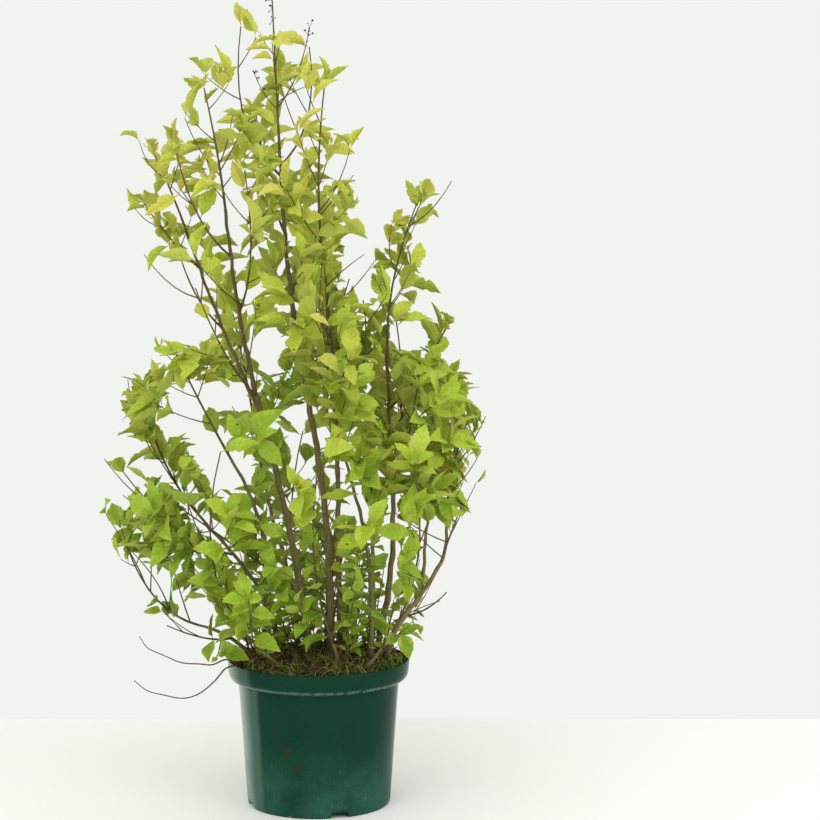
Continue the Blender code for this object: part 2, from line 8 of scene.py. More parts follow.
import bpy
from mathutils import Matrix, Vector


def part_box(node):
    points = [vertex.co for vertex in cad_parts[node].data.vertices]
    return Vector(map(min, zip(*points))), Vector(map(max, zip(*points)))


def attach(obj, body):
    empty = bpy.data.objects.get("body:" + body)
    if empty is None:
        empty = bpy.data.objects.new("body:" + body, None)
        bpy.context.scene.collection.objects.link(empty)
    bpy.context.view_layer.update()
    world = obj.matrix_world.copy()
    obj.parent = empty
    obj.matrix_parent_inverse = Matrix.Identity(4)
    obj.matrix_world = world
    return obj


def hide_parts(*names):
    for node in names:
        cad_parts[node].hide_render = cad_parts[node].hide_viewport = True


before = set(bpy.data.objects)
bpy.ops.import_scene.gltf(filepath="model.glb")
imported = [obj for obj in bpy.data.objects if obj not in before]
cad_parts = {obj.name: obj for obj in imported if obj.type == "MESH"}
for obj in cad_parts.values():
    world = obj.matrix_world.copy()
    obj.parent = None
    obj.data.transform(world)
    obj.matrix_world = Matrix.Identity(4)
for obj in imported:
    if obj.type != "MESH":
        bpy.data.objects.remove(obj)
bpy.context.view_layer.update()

import math
from functools import partial

import bpy
import numpy as np

bl_info = {
    "name": "Potted Beautyberry",
    "version": (1, 0, 0),
    "blender": (4, 5, 0),
    "location": "3D View > Sidebar > Shrub",
    "description": "Bark, leaves, fruit, moss and a moulded pot round a packed shrub",
    "category": "Object",
}

# Pot and root ball, as in the solids
POT_HEIGHT = 0.222
RIM_RADIUS = 0.1390
RIM_DEPTH = 0.0315
SHOULDER_HEIGHT = 0.0165
NECK_RADIUS = 0.1225
FOOT_RADIUS = 0.1095
FOOT_HEIGHT = 0.007
WALL = 0.002
FLOOR = 0.0025
CENTRE_FOOT_RADIUS = 0.043
SLOT_COUNT = 4
SLOT_FIRST_DEG = -71.0
SLOT_HEIGHT = 0.0085
SLOT_HALF_WIDTHS = (0.0150, 0.0125)
SLOT_INWARDS = 0.014
SLOT_OUTWARDS = 0.006
DRAIN_COUNT = 8
DRAIN_RADIUS = 0.006
DRAIN_CIRCLE = 0.073
RIDGE = POT_HEIGHT - RIM_DEPTH
SOIL_TOP = 0.2125
SOIL_RADIUS = 0.1335

# Crown outline in millimetres: height, and how far leaves reach to the left, the right, the front and
# the back
CROWN = np.array([
    (219, 150, 150, 160, 160), (310, 275, 175, 220, 200), (360, 275, 192, 240, 225),
    (400, 305, 205, 260, 250), (440, 326, 222, 267, 260), (500, 322, 250, 280, 275),
    (530, 338, 254, 284, 280), (560, 312, 256, 278, 280), (600, 310, 254, 270, 280),
    (660, 300, 240, 250, 268), (695, 282, 206, 240, 260), (800, 276, 206, 220, 240),
    (920, 292, 205, 180, 200), (1030, 312, 85, 150, 170), (1130, 196, 75, 120, 120),
    (1232, 125, 10, 60, 80),
]) / 1000

# Where the sky shows between the boughs from the camera: ellipses on the plane of the pot's axis, in
# millimetres, as their middle across and up, and their half width and half height
SKY = np.array([
    (-125, 1150, 21, 27), (-224, 1081, 27, 33), (-25, 1067, 18, 23), (52, 1058, 32, 26),
    (95, 970, 33, 53), (81, 925, 21, 61), (63, 808, 20, 50), (184, 823, 27, 27),
    (57, 812, 20, 21), (-140, 879, 14, 20), (-273, 875, 30, 18), (-239, 761, 57, 36),
    (-277, 697, 35, 24), (-76, 696, 26, 24), (-171, 620, 48, 21), (-197, 606, 27, 18),
    (-159, 535, 20, 33), (-318, 576, 20, 30), (-288, 332, 41, 39), (-212, 250, 39, 30),
    (230, 390, 33, 42), (240, 470, 23, 20), (187, 375, 20, 39), (190, 296, 32, 50),
    (-76, 1187, 11, 27), (-34, 1179, 21, 17), (6, 1170, 24, 26), (-109, 1088, 23, 15),
    (-131, 1062, 15, 12), (-252, 1028, 15, 14), (-280, 962, 18, 14), (-255, 941, 15, 12),
    (-206, 802, 30, 18), (-191, 723, 45, 20), (-103, 778, 15, 12), (136, 709, 26, 20),
    (198, 762, 15, 20), (166, 865, 12, 14), (104, 908, 12, 12), (19, 1073, 12, 12),
    (-265, 666, 18, 15), (-220, 573, 20, 15), (-300, 537, 30, 9), (-297, 485, 27, 18),
    (-243, 511, 33, 9), (-134, 493, 30, 17), (-117, 625, 11, 23), (-72, 662, 15, 11),
    (-26, 572, 12, 26), (-23, 514, 12, 18), (198, 672, 12, 9), (260, 608, 12, 27),
    (252, 553, 11, 20), (234, 508, 12, 15), (166, 417, 18, 20), (-239, 279, 18, 8),
    (-229, 329, 9, 27), (-174, 288, 14, 26), (62, 450, 11, 14),
]) / 1000

# Stems from the soil: foot on the soil, tip, bow at mid height, sideways sway and foot and tip radius
STEMS = {
    "leader": ((0.017, 0.005), (-0.057, 0.010, 0.995), (0.008, 0.000, 0.0), 0.010, 0.0062, 0.0024),
    "left": ((-0.011, -0.020), (-0.134, -0.050, 0.905), (0.000, -0.005, 0.0), 0.008, 0.0056, 0.0022),
    "middle": ((0.034, 0.020), (0.010, -0.060, 0.840), (0.008, 0.010, 0.0), -0.003, 0.0048, 0.0020),
    "right": ((0.083, 0.012), (0.105, 0.028, 0.700), (0.020, 0.000, 0.0), 0.005, 0.0052, 0.0022),
    "right_outer": ((0.100, -0.012), (0.195, -0.044, 0.440), (0.008, 0.000, 0.0), -0.012, 0.0046, 0.0020),
    "left_inner": ((-0.062, -0.034), (-0.125, -0.100, 0.540), (0.018, -0.010, 0.0), -0.010, 0.0044, 0.0020),
    "left_outer": ((-0.066, 0.018), (-0.190, 0.048, 0.440), (0.035, 0.000, 0.0), 0.004, 0.0044, 0.0020),
    "left_low": ((-0.082, -0.014), (-0.180, -0.040, 0.280), (0.000, -0.004, 0.014), 0.000, 0.0036, 0.0018),
    "front_inner": ((0.078, -0.030), (0.045, -0.120, 0.540), (0.018, 0.000, 0.0), 0.000, 0.0042, 0.0020),
    "front_low": ((0.020, -0.055), (0.026, -0.100, 0.262), (0.008, -0.010, 0.0), 0.000, 0.0038, 0.0018),
    "front_left": ((-0.034, -0.060), (-0.084, -0.106, 0.258), (0.000, -0.012, 0.0), 0.000, 0.0038, 0.0018),
    "front_right": ((0.062, -0.066), (0.098, -0.108, 0.258), (0.000, -0.012, 0.0), 0.000, 0.0038, 0.0018),
    "back_right": ((0.074, 0.055), (0.104, 0.135, 0.480), (-0.008, 0.018, 0.0), 0.006, 0.0044, 0.0020),
    "back_middle": ((0.014, 0.048), (0.010, 0.150, 0.580), (0.010, 0.010, 0.0), -0.008, 0.0048, 0.0020),
    "back_left": ((-0.036, 0.044), (-0.100, 0.135, 0.530), (0.008, 0.014, 0.0), 0.006, 0.0046, 0.0020),
    "back_low": ((-0.020, 0.082), (-0.026, 0.128, 0.262), (0.004, 0.014, 0.0), 0.000, 0.0038, 0.0018),
}

# Forks: the limb that carries it, the share of the way up that limb, tip, bow, sway and radii
FORKS = {
    "left_fork": ("left", 0.56, (-0.206, 0.060, 0.880), (-0.006, 0.010, 0.0), 0.000, 0.0032, 0.0018),
    "right_fork": ("right_outer", 0.50, (0.172, 0.085, 0.470), (0.000, 0.010, 0.0), 0.000, 0.0030, 0.0018),
}

# Shoots: the limb that carries it, the share of the way along that limb (1 is its tip), the shoot's own tip,
# the share of the shoot that is bare at its foot, and the start of its random draws
SHOOTS = [
    ("leader", 1.00, (-0.067, 0.012, 1.218), 0.10, 13),
    ("leader", 0.95, (-0.113, -0.004, 1.178), 0.45, 22),
    ("leader", 0.97, (-0.012, 0.022, 1.150), 0.20, 10),
    ("leader", 0.84, (-0.100, 0.112, 1.060), 0.10, 12),
    ("leader", 0.72, (-0.020, 0.080, 0.930), 0.05, 6),
    ("leader", 0.56, (0.046, 0.075, 0.800), 0.05, 1),
    ("left", 1.00, (-0.163, -0.062, 1.082), 0.15, 16),
    ("left", 0.90, (-0.200, -0.096, 0.985), 0.15, 17),
    ("left", 0.78, (-0.100, -0.115, 0.960), 0.05, 2),
    ("left", 0.60, (-0.170, -0.140, 0.790), 0.05, 31),
    ("left_fork", 1.00, (-0.253, 0.072, 0.990), 0.10, 6),
    ("left_fork", 0.78, (-0.262, 0.010, 0.915), 0.30, 13),
    ("left_fork", 0.45, (-0.222, 0.050, 0.875), 0.10, 11),
    ("middle", 1.00, (0.014, -0.064, 1.085), 0.05, 17),
    ("middle", 0.80, (-0.018, -0.135, 0.830), 0.05, 7),
    ("middle", 0.62, (0.070, -0.045, 0.770), 0.05, 10),
    ("right", 1.00, (0.150, 0.030, 0.915), 0.15, 27),
    ("right", 0.80, (0.195, 0.000, 0.730), 0.15, 13),
    ("right", 0.55, (0.150, -0.085, 0.640), 0.05, 3),
    ("right_outer", 1.00, (0.226, -0.050, 0.590), 0.05, 5),
    ("right_outer", 0.72, (0.215, -0.120, 0.470), 0.10, 23),
    ("right_outer", 0.36, (0.195, -0.040, 0.330), 0.10, 19),
    ("right_fork", 1.00, (0.198, 0.120, 0.655), 0.05, 30),
    ("left_inner", 1.00, (-0.200, -0.150, 0.700), 0.15, 6),
    ("left_inner", 0.50, (-0.205, -0.150, 0.480), 0.05, 21),
    ("left_outer", 1.00, (-0.275, 0.066, 0.635), 0.10, 26),
    ("left_outer", 0.72, (-0.300, 0.010, 0.510), 0.10, 27),
    ("left_low", 1.00, (-0.290, -0.070, 0.430), 0.05, 5),
    ("left_low", 0.50, (-0.220, -0.100, 0.290), 0.20, 40),
    ("front_inner", 1.00, (0.015, -0.175, 0.770), 0.05, 2),
    ("front_inner", 0.62, (0.085, -0.165, 0.560), 0.05, 30),
    ("front_low", 1.00, (0.014, -0.225, 0.560), 0.00, 27),
    ("front_left", 1.00, (-0.128, -0.222, 0.560), 0.00, 28),
    ("front_right", 1.00, (0.145, -0.210, 0.540), 0.00, 15),
    ("back_right", 1.00, (0.118, 0.185, 0.730), 0.05, 13),
    ("back_middle", 1.00, (0.006, 0.200, 0.840), 0.05, 14),
    ("back_left", 1.00, (-0.150, 0.190, 0.770), 0.05, 27),
    ("back_low", 1.00, (-0.035, 0.235, 0.550), 0.00, 20),
]

# Finer twigs: the shoot that carries it, counted from nought, or the limb's name, the share of the way along
# it, the twig's tip, and what the twig carries
SPRIGS = [
    ("middle", 0.92, (0.072, -0.070, 0.838), "bare"),
    ("right_outer", 0.85, (0.204, -0.050, 0.447), "pair"),
    (0, 0.31, (-0.010, -0.010, 1.176), "fruit"),
    (0, 0.30, (-0.094, 0.010, 1.108), "fruit"),
    (0, 0.34, (-0.012, 0.020, 1.092), "pair"),
    (0, 0.60, (-0.052, -0.020, 1.160), "pair"),
    (0, 0.66, (-0.086, 0.020, 1.170), "pair"),
    (6, 0.30, (-0.195, -0.030, 1.040), "pair"),
    (6, 0.10, (-0.165, -0.075, 0.965), "leaves"),
    (6, 0.20, (-0.095, -0.060, 0.990), "leaves"),
    (7, 0.60, (-0.220, -0.080, 0.950), "leaves"),
    (6, 0.40, (-0.125, -0.020, 1.045), "pair"),
    (4, 0.45, (-0.085, 0.060, 0.870), "leaves"),
    (8, 0.50, (-0.088, -0.130, 0.865), "leaves"),
    (8, 0.70, (-0.135, -0.130, 0.940), "leaves"),
    (8, 0.85, (-0.100, -0.100, 0.930), "leaves"),
    (8, 0.90, (-0.070, -0.110, 0.925), "leaves"),
    (9, 0.20, (-0.085, -0.115, 0.755), "leaves"),
    (10, 0.55, (-0.205, 0.050, 1.000), "leaves"),
    (10, 0.72, (-0.276, 0.070, 1.012), "pair"),
    (11, 0.70, (-0.278, 0.000, 0.912), "pair"),
    (12, 0.40, (-0.264, 0.020, 0.838), "pair"),
    (13, 0.10, (0.046, -0.075, 0.905), "leaves"),
    (13, 0.25, (0.056, -0.050, 0.955), "bare"),
    (13, 0.28, (0.052, -0.085, 0.992), "pair"),
    (16, 0.85, (0.203, 0.020, 0.949), "bare"),
    (16, 0.55, (0.112, 0.020, 0.884), "leaves"),
    (16, 0.80, (0.158, 0.010, 0.922), "pair"),
    (16, 0.30, (0.140, 0.000, 0.812), "pair"),
    (17, 0.70, (0.205, 0.020, 0.742), "leaves"),
    (19, 0.55, (0.254, -0.020, 0.595), "leaves"),
    (19, 0.30, (0.246, -0.050, 0.545), "leaves"),
    (20, 0.55, (0.238, -0.080, 0.500), "leaves"),
    (23, 0.05, (-0.088, -0.155, 0.575), "leaves"),
    (23, 0.80, (-0.222, -0.120, 0.700), "leaves"),
    (24, 0.10, (-0.085, -0.145, 0.495), "leaves"),
    (25, 0.70, (-0.296, 0.060, 0.645), "pair"),
    (25, 0.45, (-0.279, 0.060, 0.597), "pair"),
    (26, 0.75, (-0.325, 0.000, 0.528), "pair"),
    (26, 0.45, (-0.300, 0.020, 0.470), "leaves"),
    (27, 0.60, (-0.316, -0.050, 0.449), "pair"),
    (27, 0.30, (-0.288, -0.030, 0.398), "pair"),
    (28, 0.20, (-0.145, -0.110, 0.245), "leaves"),
    (28, 0.80, (-0.228, -0.080, 0.307), "pair"),
]

# Stretches of limb that stay in sight: the shoot, counted from nought, or the limb's name, and the shares
# of its length between which no leaf stands before it
IN_SIGHT = [
    ("leader", 0.08, 0.52),
    ("leader", 0.68, 0.88),
    ("left", 0.20, 0.44),
    ("left", 0.54, 1.00),
    ("left_fork", 0.10, 0.90),
    ("middle", 0.36, 0.50),
    ("middle", 0.76, 0.95),
    ("right", 0.20, 0.52),
    ("right", 0.74, 1.00),
    ("right_outer", 0.20, 0.62),
    ("right_fork", 0.05, 0.65),
    ("front_inner", 0.30, 0.80),
    ("left_inner", 0.72, 1.00),
    ("left_outer", 0.55, 1.00),
    (0, 0.05, 0.70),
    (6, 0.05, 0.45),
    (10, 0.05, 0.50),
    (16, 0.10, 0.65),
    (23, 0.10, 0.65),
    (25, 0.10, 0.60),
]

# Shoots whose tip is bare, and how far up each bears leaves
LEAFY_TO = {0: 0.55}

# Growth: flare of the stems' feet, points along limbs, angles between them, and where the crown opens out
FLARE = 0.45
FLARE_HEIGHT = 0.012
LIMB_STEP = 0.005
FORK_LEAD = 9
SHOOT_ANGLE = math.radians(50)
FORK_ANGLE = math.radians(35)
SIDE_TWIG_ANGLE = math.radians(46)
SIDE_TWIG_ANGLE_SPREAD = 0.14
HEADING_REACH = 0.45
SPINE_STATIONS = 10
TWIG_STATIONS = 6
TWIG_TAPER = 0.55
CROWN_AXIS = (-0.02, 0.0)
AIRY_FROM, AIRY_TO = 0.62, 0.92

# Chances of a side twig and of a leaf pair at a node, between and at side twigs, and what airiness takes off
TWIG_CHANCE, TWIG_CHANCE_ALOFT = 0.92, 0.30
BETWEEN_CHANCE, AT_TWIGS_CHANCE, PAIR_THINNING = 0.95, 0.5, 0.75

# Low shoots: how many, reach of their feet, height of their tips, and their nodes' distance and leaves
LOW_SHOOTS = 46
LOW_SHOOT_FEET, LOW_SHOOT_TOPS = (0.02, 0.105), (0.27, 0.42)
LOW_INTERNODE, LOW_LEAVES, LOW_TUFT = 0.018, (0.030, 0.046), 0.042

# Tuft at a twig's end: length share and spread of its pairs, and the pair that is left out aloft
TUFT = ((0.95, 1.0), (0.72, 0.72), (0.42, 0.4))
MID_TUFT = 0.72

# Room for a leaf: how near it may come to bark, to another leaf and to the sight of a limb, the turns that
# it tries, and the points that are tested, as share of the length, side, and share of the sag
LIMB_CLEARANCE = 0.003
LEAF_GAP = 0.0074
SIGHT_HALF_WIDTH = 0.0085
TRY_SWINGS = (0.0, 0.45, -0.45, 0.9)
LEAF_PROBES = ((0.35, 1, 0.0), (0.35, -1, 0.0), (0.65, 1, 0.4), (0.65, -1, 0.4), (0.92, 0, 0.85))
MOST_PROBES = 40000

# A leaf's lie: ranges and spreads in radians, and the pull of each way that it faces, with what is added
# aloft or low down
DROOP, DROOP_LOW_DOWN = (-0.30, 0.28), 0.04
ROLL, ROLL_ALOFT = 0.30, 0.35
CURL, CURL_ALOFT = (0.1, 0.75), 0.2
FOLD, FOLD_ALOFT = (0.05, 0.55), 0.35
TWIST = 0.4
FACE_UP, FACE_OUT, FACE_OUT_LOW_DOWN, FACE_FORWARD = 0.55, 0.16, 0.16, 0.8
LOW_LEAF_SHARE, LOW_LEAF_HEIGHT, LOW_LEAF_RISE = 0.78, 0.30, 1.2

# Tint of a spray: steps by height and by distance from the axis, the spread of its own draw, the sizes that
# they are measured by, and the share of sprays that yellow
TINT_FOOT, TINT_TOP, TINT_OUTSIDE, TINT_SPREAD = 0.3, 6.1, 0.9, 0.75
CROWN_FOOT, CROWN_HEIGHT, CROWN_RADIUS = 0.25, 0.95, 0.25
YELLOWING = 0.010

# Leaf outline: shares of the length, the half width there as a share of the widest, the teeth of its margin,
# its unevenness and waves, the chances of a bite, and the keel that gives the blade its thickness
LEAF_PLACES = np.array([
    0.05, 0.12, 0.18, 0.24, 0.31, 0.38, 0.45, 0.52, 0.59, 0.66, 0.73, 0.80, 0.86, 0.92, 0.97])
LEAF_HALF_WIDTHS = np.array([
    0.055, 0.07, 0.38, 0.66, 0.86, 0.96, 1.00, 0.99, 0.94, 0.84, 0.69, 0.51, 0.35, 0.19, 0.08])
LEAF_TEETH = np.array([
    0, 0, 0.03, -0.03, 0.03, -0.03, 0.03, -0.03, 0.03, -0.04, 0.04, -0.05, 0.05, -0.05, 0])
MARGIN_ROUGHNESS = 0.045
MARGIN_WAVE, MARGIN_WAVES = 0.12, 9
BITTEN_HIGH, BITTEN_LOW = 0.75, 0.25
KEEL, LEAST_KEEL = 0.0004, 0.00025

# Strands on the root ball: name, tint or colour of the panel, how many, shortest, longest, radius, rise
STRANDS = [
    ("dead_strands", "straw", 2000, 0.018, 0.062, 0.00070, 0.45),
    ("dark_strands", "#3f2f1e", 2100, 0.014, 0.050, 0.00095, 0.45),
    ("dead_twigs", "#5b4731", 420, 0.030, 0.082, 0.00115, 0.70),
    ("moss", "moss", 3300, 0.010, 0.031, 0.00095, 0.95),
    ("fresh_moss", "#93a540", 1500, 0.013, 0.035, 0.00085, 1.0),
]

# How far strands stand from the pot's axis and lean out to, the spread of their climb, and their sag and bow
STRAND_REACH, STRAND_LIMIT = 0.131, 0.133
STRAND_CLIMB_SPREAD, STRAND_SAG, STRAND_BOW = 0.30, 0.22, 0.22

# Sizes of the materials' patterns in millimetres, and how many side veins a leaf has to its tip
LEAF_MOTTLE_MM, LEAF_GRAIN_MM, SCORCH_CELL_MM = 16, 3, 26
SIDE_VEINS = 6.5
OLD_STREAK_MM, YOUNG_STREAK_MM, PORE_CELL_MM = 2.2, 1.2, 5
SCRATCH_MM, CHIP_CELL_MM, FLOOR_GRAIN_MM = 1.6, 42, 60

# Noises of the pot (clouds of dust that also ruffle the edge of the painted reflection, fine scuffs, breaks
# in the painted highlight under the rim, mud, ragged edges) and of the soil (crumbs, moss): size in
# millimetres, detail and roughness
POT_PATTERNS = ((60, 5, 0.62), (5, 4, 0.65), (12, 3, 0.6), (24, 3, 0.7), (3, 4, 0.7))
SOIL_PATTERNS = ((4, 5, 0.7), (30, 4, 0.6))

# Clinging specks of earth on the front of the pot, across and up
DIRT_SPOTS = [(-0.0440, 0.1020), (-0.0265, 0.0775)]

# Dead twigs that hang over the left of the rim, as points from the soil outwards
BARE_TWIGS = [
    [(-0.098, -0.052, 0.208), (-0.118, -0.062, 0.226), (-0.136, -0.068, 0.232), (-0.156, -0.074, 0.227),
     (-0.180, -0.080, 0.228), (-0.212, -0.086, 0.236), (-0.245, -0.092, 0.252), (-0.262, -0.095, 0.272)],
    [(-0.098, -0.054, 0.208), (-0.118, -0.066, 0.224), (-0.136, -0.076, 0.220), (-0.152, -0.088, 0.204),
     (-0.175, -0.098, 0.186), (-0.206, -0.110, 0.184), (-0.240, -0.120, 0.194), (-0.266, -0.130, 0.213)],
]

# Masses whose middle is above this height are replaced by the upper leaves
MASSES_SPLIT = 0.55

# Camera, lights and floor
CAMERA = (0.1398, -3.177, 0.846)
CAMERA_DOWN_DEG = 4.38
KEY_PLACE, KEY_TARGET, KEY_WIDTH = (-1.1, -3.7, 3.5), (0, 0, 0.6), 4.2
FILL_PLACE, FILL_TARGET, FILL_WIDTH = (2.6, -2.4, 1.3), (0.1, 0, 0.3), 2.4
FILL_SHARE = 0.36
FLOOR_BACK = 0.56
FLOOR_REACH = 4

# Leaf tints from the shaded foot of the crown to its sunlit top, and the yellowing few
LEAF_TINTS = [
    "#7a951f", "#88a325", "#95ae2b", "#a1b731", "#abbb39", "#b5bd41", "#bfc14b", "#c9c757", "#ccc35b"]
UNDERSIDE_TINTS = ["#9cb044", "#b1ba4d", "#c5c558"]

# Corner numbers of a box's sides, and no triangles
BOX_FACES = np.array([(3, 2, 1, 0), (4, 5, 6, 7), (0, 1, 5, 4), (1, 2, 6, 5), (2, 3, 7, 6), (3, 0, 4, 7)])
NO_TRIANGLES = np.zeros((0, 3), int)

# What the materials' nodes share
ALL = slice(None)
SMOOTH = {"interpolation_type": "SMOOTHSTEP"}
TIMES = {"operation": "MULTIPLY"}
PLUS_PRODUCT = {"operation": "MULTIPLY_ADD"}


def linear(code):
    """An sRGB hex colour as linear RGB: over 12.92 when dark, else the 2.4 power of its offset value."""
    values = [int(code[place:place + 2], 16) / 255 for place in (1, 3, 5)]
    return tuple(value / 12.92 if value <= 0.04045 else ((value + 0.055) / 1.055) ** 2.4 for value in values)


# Kinds of property that a user would change
size_property = partial(bpy.props.FloatProperty, unit="LENGTH")
colour_property = partial(bpy.props.FloatVectorProperty, subtype="COLOR", size=3)


class ShrubSizes(bpy.types.PropertyGroup):
    """Sizes of the growth."""

    seed: bpy.props.IntProperty(name="Seed", description="Start of the random draws", default=41)
    internode: size_property(
        name="Internode", description="Distance between leaf pairs on a shoot", default=0.022)
    twig_internode: size_property(
        name="Twig internode", description="Distance between leaf pairs on a side twig", default=0.017)
    leaf_length: size_property(
        name="Leaf length", description="Stalk and blade of a full leaf", default=0.063)
    leaf_width: bpy.props.FloatProperty(
        name="Leaf width", description="Width as a share of the length", default=0.47, subtype="FACTOR")
    side_twig: size_property(
        name="Side twig", description="Length of a side twig low on its shoot", default=0.085)
    spine_radius: size_property(
        name="Shoot radius", description="Radius at the foot of a shoot", default=0.0020)
    twig_radius: size_property(
        name="Twig radius", description="Radius at the foot of a side twig", default=0.0011)


class ShrubColours(bpy.types.PropertyGroup):
    """Colours that a user would change."""

    old_bark: colour_property(name="Old bark", description="Bark by the soil", default=linear("#867a50"))
    young_bark: colour_property(
        name="Young bark", description="Bark on shoots and twigs", default=linear("#655736"))
    pot: colour_property(name="Pot", description="Moulded plastic", default=linear("#083326"))
    moss: colour_property(name="Moss", description="Moss on the root ball", default=linear("#4f5d25"))
    straw: colour_property(
        name="Straw", description="Dead strands on the root ball", default=linear("#a8935f"))


class StudioSettings(bpy.types.PropertyGroup):
    """Light and camera."""

    key_power: bpy.props.FloatProperty(
        name="Key power", description="Power of the large soft light", default=84.0, subtype="POWER")
    sky_strength: bpy.props.FloatProperty(
        name="Even light", description="Strength of the even light all round", default=1.0)
    focal: bpy.props.FloatProperty(
        name="Focal length", description="Lens of the camera", default=92.195, subtype="DISTANCE_CAMERA")


# Meshes


def unit(vectors):
    """Vectors divided by their lengths."""
    return vectors / np.maximum(np.linalg.norm(vectors, axis=-1, keepdims=True), 1e-12)


def transported(ways, first):
    """Side vectors square to the ways, each turned from the one before by the least turn."""
    side = np.broadcast_to(first, ways[:, 0].shape)
    sides = []
    for station in range(ways.shape[1]):
        way = ways[:, station]
        side = unit(side - way * (side * way).sum(-1, keepdims=True))
        sides.append(side)
    return np.stack(sides, axis=1)


def tube_rings(curves, radii, sides):
    """Rings round curves, centre + radius * (cos a * side + sin a * across), and the points that close them.

    curves is (tubes, stations, 3), and radii (tubes, stations), or (tubes, stations, sides) for relief.
    """
    ways = unit(np.gradient(curves, axis=1))
    side = transported(ways, np.cross(ways[:, 0], [0.31, 0.87, 0.38]))
    across = np.cross(ways, side)
    turn = np.linspace(0, math.tau, sides, endpoint=False)
    ring = np.cos(turn)[:, None] * side[:, :, None] + np.sin(turn)[:, None] * across[:, :, None]
    radii = radii[..., None] if radii.ndim == 2 else radii
    rings = curves[:, :, None] + radii[..., None] * ring
    tail = curves[:, -1] + ways[:, -1] * radii[:, -1].mean(-1, keepdims=True) * 0.7
    return rings, np.stack([curves[:, 0], tail], axis=1)


def turned_rings(radius, height, sides):
    """A profile turned about the upright axis: radius * cos a, radius * sin a, and its height."""
    turn = np.linspace(0, math.tau, sides, endpoint=False)
    return np.stack([radius[:, None] * np.cos(turn), radius[:, None] * np.sin(turn),
                     np.broadcast_to(height, (len(radius), sides))], axis=-1)[None]


def ball_rings(centres, radii, stations=5, sides=8):
    """Small balls: rings of radius r sin p at height -r cos p, for p across the ball, and their poles."""
    p = np.linspace(0, math.pi, stations + 2)[1:-1]
    unit_ring = turned_rings(np.sin(p), -np.cos(p)[:, None], sides)[0]
    rings = centres[:, None, None] + radii[:, None, None, None] * unit_ring
    poles = centres[:, None] + radii[:, None, None] * np.array([[0, 0, -1.0], [0, 0, 1.0]])
    return rings, poles


def ring_faces(items, stations, sides):
    """Corner numbers of the quads between rings, and of the fans that close the two ends of each item."""
    base = np.arange(items)[:, None, None] * (stations * sides + 2)
    ring = np.arange(stations - 1)[None, :, None] * sides
    one = np.arange(sides)[None, None, :]
    two = (one + 1) % sides
    low, high = base + ring, base + ring + sides
    quads = np.stack([low + one, low + two, high + two, high + one], -1)
    pole = base + stations * sides
    last = (stations - 1) * sides
    start = np.stack([pole + 0 * one, base + two, base + one], -1)
    end = np.stack([pole + 1 + 0 * one, base + last + one, base + last + two], -1)
    return quads.reshape(-1, 4), np.concatenate([start, end], axis=1).reshape(-1, 3)


def add_piece(name, points, quads, triangles, materials, slots=None, uv=None, sharp=None):
    """A mesh object from whole arrays. Slots gives each face's material, uv each corner point's place."""
    mesh = bpy.data.meshes.new(name)
    mesh.vertices.add(len(points))
    mesh.vertices.foreach_set("co", np.ascontiguousarray(points, np.float32).ravel())
    corners = np.concatenate([quads.ravel(), triangles.ravel()]).astype(np.int32)
    mesh.loops.add(len(corners))
    mesh.loops.foreach_set("vertex_index", corners)
    starts = np.concatenate([np.arange(len(quads)) * 4, len(quads) * 4 + np.arange(len(triangles)) * 3])
    mesh.polygons.add(len(starts))
    mesh.polygons.foreach_set("loop_start", starts.astype(np.int32))
    mesh.polygons.foreach_set("use_smooth", np.ones(len(starts), bool))
    if slots is not None:
        mesh.polygons.foreach_set("material_index", slots.astype(np.int32))
    if uv is not None:
        mesh.uv_layers.new(name="blade").data.foreach_set("uv", uv[corners].astype(np.float32).ravel())
    mesh.update(calc_edges=True)
    if sharp is not None:
        mesh.set_sharp_from_angle(angle=math.radians(sharp))
    for finish in materials:
        mesh.materials.append(finish)
    piece = bpy.data.objects.new(name, mesh)
    bpy.context.scene.collection.objects.link(piece)
    return piece


def add_rings(name, rings, ends, materials, inwards=False, **others):
    """A piece from its rings and the points that close each item. Inwards turns its faces over."""
    quads, triangles = ring_faces(*rings.shape[:3])
    if inwards:
        quads, triangles = quads[:, ::-1], triangles[:, ::-1]
    points = np.concatenate([rings.reshape(len(rings), -1, 3), ends], axis=1).reshape(-1, 3)
    return add_piece(name, points, quads, triangles, materials, **others)


def add_tubes(name, twigs, sides, finish, knots=0.0):
    """Joined twigs of equal stations: taper from foot to tip, and a slight swelling where leaves stand."""
    curves = np.stack([curve for curve, _, _ in twigs])
    foot, tip = (np.array([row[k] for row in twigs])[:, None] for k in (1, 2))
    t = np.linspace(0, 1, curves.shape[1])[None]
    radii = (foot + (tip - foot) * t) * (1 + knots * (np.arange(curves.shape[1]) % 2))
    return add_rings(name, *tube_rings(curves, radii, sides), [finish])


def wear(piece, slot, *nodes):
    """Rides the piece on the root body, with the nodes that it stands for; its slot is not used."""
    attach(piece, "root")
    if nodes:
        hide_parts(*nodes)


# Finishes


def add_node(tree, kind, inputs=(), output=0, **settings):
    """Adds a node with its settings and gives its output.

    Inputs come in the node's order, or by name. One given as a socket is linked, and any other value is set.
    """
    node = tree.nodes.new(f"ShaderNode{kind}")
    for name, value in settings.items():
        setattr(node, name, value)
    for place, value in inputs.items() if isinstance(inputs, dict) else enumerate(inputs):
        if isinstance(value, bpy.types.NodeSocket):
            tree.links.new(value, node.inputs[place])
        else:
            node.inputs[place].default_value = value
    return node.outputs[output]


def new_material(name, roughness, specular):
    """A material, the call that adds its nodes, and its Object coordinates in metres."""
    made = bpy.data.materials.new(name)
    made.use_nodes = True
    shader = made.node_tree.nodes["Principled BSDF"]
    shader.inputs["Roughness"].default_value = roughness
    shader.inputs["Specular IOR Level"].default_value = specular
    add = partial(add_node, made.node_tree)
    return made, add, add("TexCoord", output="Object")


